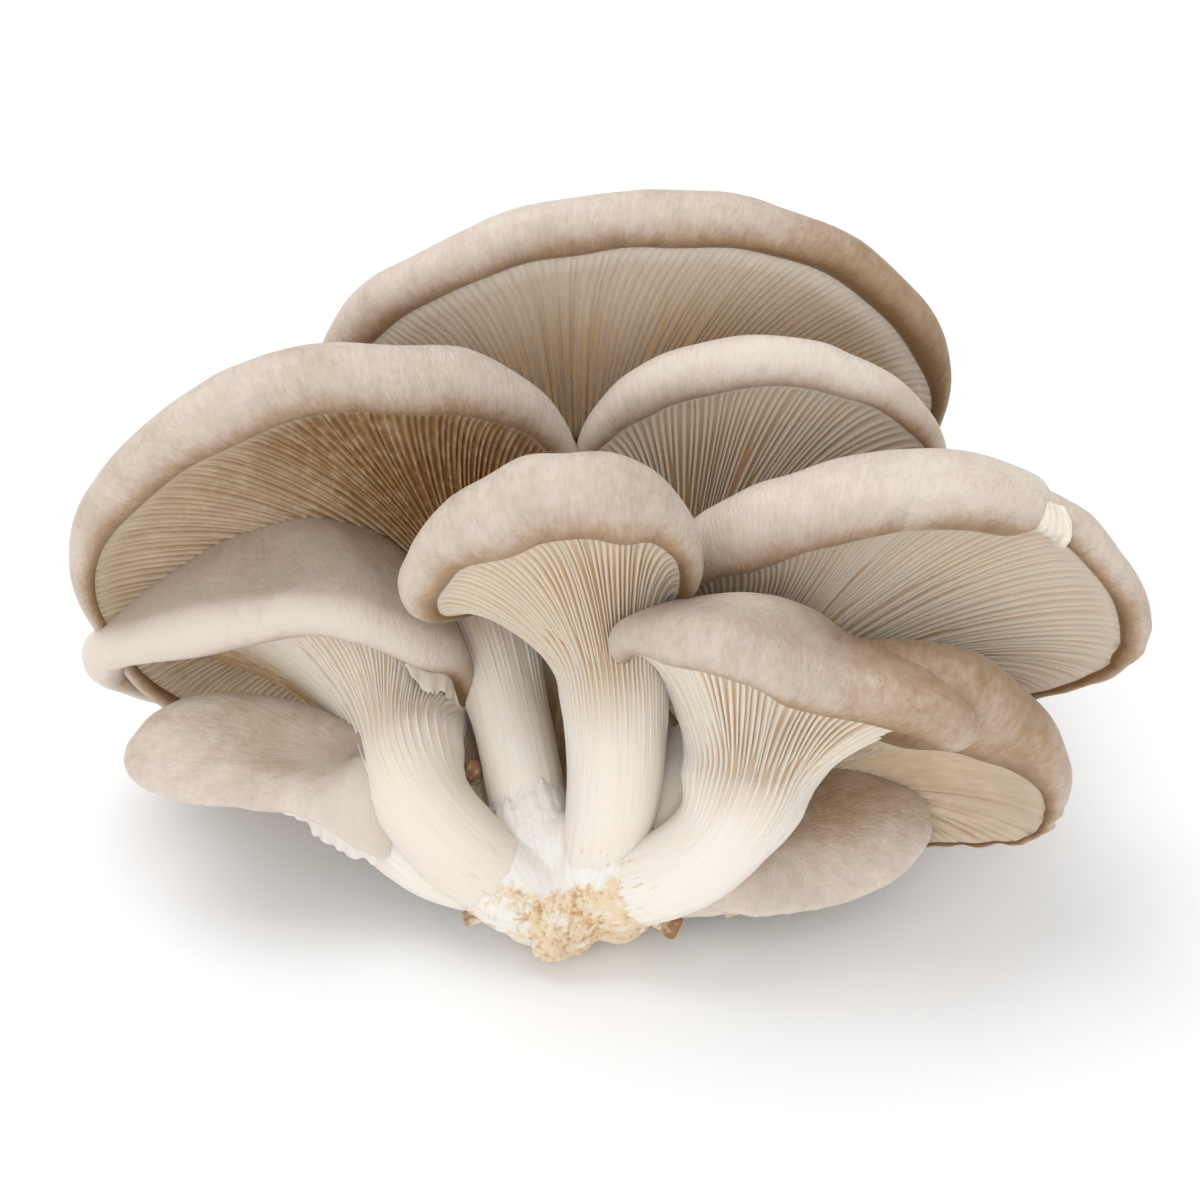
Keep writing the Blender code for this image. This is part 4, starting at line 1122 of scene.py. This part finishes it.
def rolled_end(name, m, stations, blunt):
    """The end of the thick rolled margin, where the rim has split: rings around the margin's
    centre line (angle, reach, lift, radius), that close to a rounded nose over the last share
    of it, blunt."""
    table = np.array(stations, float)
    first, last = table[0, 0], table[-1, 0]
    x = np.concatenate([np.linspace(0, 1 - blunt, 26),
                        1 - blunt * np.cos(np.linspace(0.06, 0.5, 22) * np.pi)])
    a = first + (last - first) * x
    reach, lift, roll = (through(table[:, 0], table[:, k], a)[:, None] for k in (1, 2, 3))
    nose = np.clip((x - 1 + blunt) / blunt, 0, 0.9999)
    roll = roll * np.sqrt(1 - nose**2)[:, None] + 0.02
    u = np.radians(a)[:, None]
    turn = np.linspace(0, 2 * np.pi, 72, endpoint=False)[None, :]
    points = on_tube(m, u + 0 * turn, turn, reach, lift, roll)
    middle = points.mean(axis=1, keepdims=True)
    points = points + unit(points - middle) * (swell(points, m) * ease(roll, 0, 3))[..., None]
    flat, quads, tris = capped(points, points[0].mean(axis=0))
    girth = around(m["rim"], 1, u).mean()
    past = np.mod(turn - np.radians(CREASE_TURN), 2 * np.pi)    # how far the margin has rolled
    grain = wrapped(girth, u, 60 + 8 * past).reshape(-1, 3)
    grain = np.concatenate([grain, grain[:1], grain[-1:]]) * MM
    run = np.full(len(flat), 1.6)
    # browner low on the roll, partly its darker fibres and partly painted shade, as on the margin
    lip = 0.60 * np.exp(-((past - 0.9) / 0.7)**2) * ease(a, -36, -18)[:, None]
    lip = np.append(lip.ravel(), (0, 0))
    tone = m["tone"][0] + lip + 0.12 * cloud(flat, 26.0, m["seed"] + 7)
    obj = mesh_object(name, flat, quads, tris, (SKIN,), None, {"grain": grain, "run": run, "tone": tone})
    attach(obj, "root")


torn_patch("mushroom_right_torn_patch", made["mushroom_right"], -14, -0.5, 194, 335)
rolled_end("mushroom_right_rolled_end", made["mushroom_right"],
           ((-40, 45.3, -11, 8.0), (-32, 49.5, -11, 8.2), (-24, 53.8, -11, 8.1), (-16, 58, -11, 7.2),
            (-10, 60.3, -11, 6.4), (-6, 61.5, -11, 6.0)), 0.17)


# %% loose threads
def loose_threads(name, m, v_from, v_to, count, length, seed):
    """Fine threads that stand off the felt: each one is a curved line with three sides that thins
    to its end.  They start at random places on the stem and lean up along it."""
    rng = np.random.default_rng(seed)
    u = rng.uniform(-np.pi, np.pi, (count, 1))
    v = rng.uniform(v_from, v_to, (count, 1))
    root = ring(m, u, v)
    up = unit(ring(m, u, v + 0.02) - root)
    out = unit(root - ring(m, u + np.pi, v))
    lean = unit(up * rng.uniform(0.4, 1.0, (count, 1, 1)) + out * rng.uniform(0.2, 0.9, (count, 1, 1))
                + rng.normal(0, 0.35, (count, 1, 3)))
    bend = rng.normal(0, 0.5, (count, 1, 3))
    t = np.linspace(0, 1, 6)[None, :, None]
    size = length * rng.uniform(0.4, 1.0, (count, 1, 1))
    line = root + size * (t * lean + t * t * bend * 0.6)
    side = unit(np.cross(lean, (0.3, 0.5, 0.8)))
    third = np.cross(side, lean)
    angle = np.arange(3) * 2 * np.pi / 3
    spoke = np.cos(angle)[:, None] * side[:, :, None] + np.sin(angle)[:, None] * third[:, :, None]
    points = line[:, :, None] + spoke * (0.11 * (1 - 0.8 * t))[..., None]
    start = (np.arange(count) * 18)[:, None, None]
    k, i = np.arange(5)[:, None] * 3, np.arange(3)
    j = (i + 1) % 3
    quads = (start[..., None] + np.stack([k + i, k + j, k + j + 3, k + i + 3], -1)).reshape(-1, 4)
    ends = start[:, 0] + np.array([[0, 2, 1], [15, 16, 17]]).reshape(-1)
    tris = ends.reshape(-1, 3)
    flat = points.reshape(-1, 3)
    marks = {"grain": flat * MM, "tone": np.full(len(flat), -1.0), "cavity": np.zeros(len(flat))}
    obj = mesh_object(name, flat, quads, tris, (FELT,), None, marks)
    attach(obj, "root")


loose_threads("threads_middle", made["mushroom_upper_left"], -0.72, -0.66, 110, 2.2, 5)

# %% [markdown]
# ## Pinheads and stubs
#
# A pinhead is a mushroom that has only just started, and a stub is one that gave up and dried.
# Both are a short stalk with a head, so one profile along a straight path makes them: radii at
# a few stations, a dimple at the stub's dried end, and a cloud to break the roundness.

# %% small growths
# foot, head, then (share of the length, radius in mm) stations, and how brown the end is
SMALL = {
    "pinhead_left": ((-24, 33, 13), (-25, 32.5, 24.6),
                     ((0, 1.8), (0.4, 1.4), (0.62, 1.5), (0.76, 1.9), (0.9, 1.5), (1.0, 0.3)), 0.8),
    "pinhead_right": ((-4.5, 36, 15), (-6, 39, 29.6),
                      ((0, 1.3), (0.45, 0.9), (0.68, 1.0), (0.8, 1.6), (0.92, 1.4), (1.0, 0.4)), 0.8),
    "stub_right": ((8.0, 9.0, 7.0), (15.0, 7.2, 4.4),
                   ((0, 1.9), (0.3, 1.5), (0.6, 1.9), (0.85, 2.5), (1.0, 2.1), (0.90, 1.3),
                    (0.7, 0.4)), 1.0),
    "stub_left": ((-20.0, 10.0, 6.5), (-26.0, 8.2, 6.0),
                  ((0, 1.4), (0.4, 1.1), (0.8, 1.5), (1.0, 1.4), (0.95, 0.9), (0.88, 0.3)), 0.7),
}


def make_small(name, foot, head, stations, brown):
    """A profile of radii turned around the line from foot to head, then roughened."""
    foot, head = np.array(foot, float), np.array(head, float)
    w = unit(head - foot)
    a = unit(np.cross(w, (0, 1, 0.3)))
    b = np.cross(w, a)
    share, radius = np.array(stations).T
    knots = np.arange(len(share), dtype=float)
    k = np.linspace(0, len(share) - 1, 26)
    along, r = through(knots, share, k), np.maximum(through(knots, radius, k), 0.15)
    u = np.linspace(0, 2 * np.pi, 28, endpoint=False)
    spoke = np.cos(u)[:, None] * a + np.sin(u)[:, None] * b
    points = foot + along[:, None, None] * (head - foot) + r[:, None, None] * spoke
    points = points + spoke * (0.22 * cloud(points, 1.6, 11) + 0.10 * cloud(points, 0.7, 12))[..., None]
    points[..., 2] = np.maximum(points[..., 2], 0.2 - SHIFT[2])
    flat, quads, tris = capped(points, foot - w * 0.6)
    tone = brown * np.append(np.repeat(ease(k / k[-1], 0.05, 0.6), len(u)), (0, 1))
    obj = mesh_object(name + "_look", flat, quads, tris, (YOUNG,), None, {"tone": tone})
    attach(obj, "root")
    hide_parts(name)


for name, parts in SMALL.items():
    make_small(name, *parts)

# %% [markdown]
# ## Floor and light
#
# A plain white floor and a broad, soft light from above and a little behind let the rolled rims
# shine and leave the gills in gentle shade.  A second, weaker light from the front opens the
# shade, and the world around adds the rest.

# %% floor, lights and world
def make_floor():
    """A square plane, three metres wide, with a faint grain."""
    half = 1500.0
    corners = np.array([(-half, -half, 0), (half, -half, 0), (half, half, 0), (-half, half, 0)])
    corners = corners - SHIFT * (0, 0, 1) + SHIFT
    material = bpy.data.materials.new("pale_floor")
    material.use_nodes = True
    tree = material.node_tree
    shader = tree.nodes["Principled BSDF"]
    place = node(tree, "TexCoord").outputs["Object"]
    grain = speckle(tree, place, 6, 2)
    white = tint(tree, grain, (0.945, 0.953, 0.965, 1), (0.955, 0.962, 0.972, 1))
    tree.links.new(white, shader.inputs["Base Color"])
    shader.inputs["Roughness"].default_value = 0.9
    shader.inputs["Specular IOR Level"].default_value = 0.2
    mesh = bpy.data.meshes.new("floor")
    mesh.from_pydata((corners * MM).tolist(), [], [(0, 1, 2, 3)])
    mesh.materials.append(material)
    floor = bpy.data.objects.new("floor", mesh)
    bpy.context.scene.collection.objects.link(floor)


def make_sun(name, towards, strength, softness):
    """Parallel light that comes from a direction, soft over some degrees."""
    light = bpy.data.lights.new(name, "SUN")
    light.energy = strength
    light.angle = np.radians(softness)
    lamp = bpy.data.objects.new(name, light)
    x, y, z = unit(towards)
    lamp.rotation_euler = (np.arccos(z), 0, np.arctan2(y, x) + np.pi / 2)
    bpy.context.scene.collection.objects.link(lamp)


make_floor()
make_sun("key_light", (-0.36, 0.40, 0.86), 1.22, 42)
make_sun("front_light", (-0.10, -0.90, 0.38), 0.88, 60)
world = bpy.data.worlds.new("studio")
bpy.context.scene.world = world
world.use_nodes = True
sky = world.node_tree.nodes["Background"]
sky.inputs["Color"].default_value = (1.0, 0.995, 0.985, 1)
sky.inputs["Strength"].default_value = 0.74
bpy.context.scene.view_settings.view_transform = "Standard"
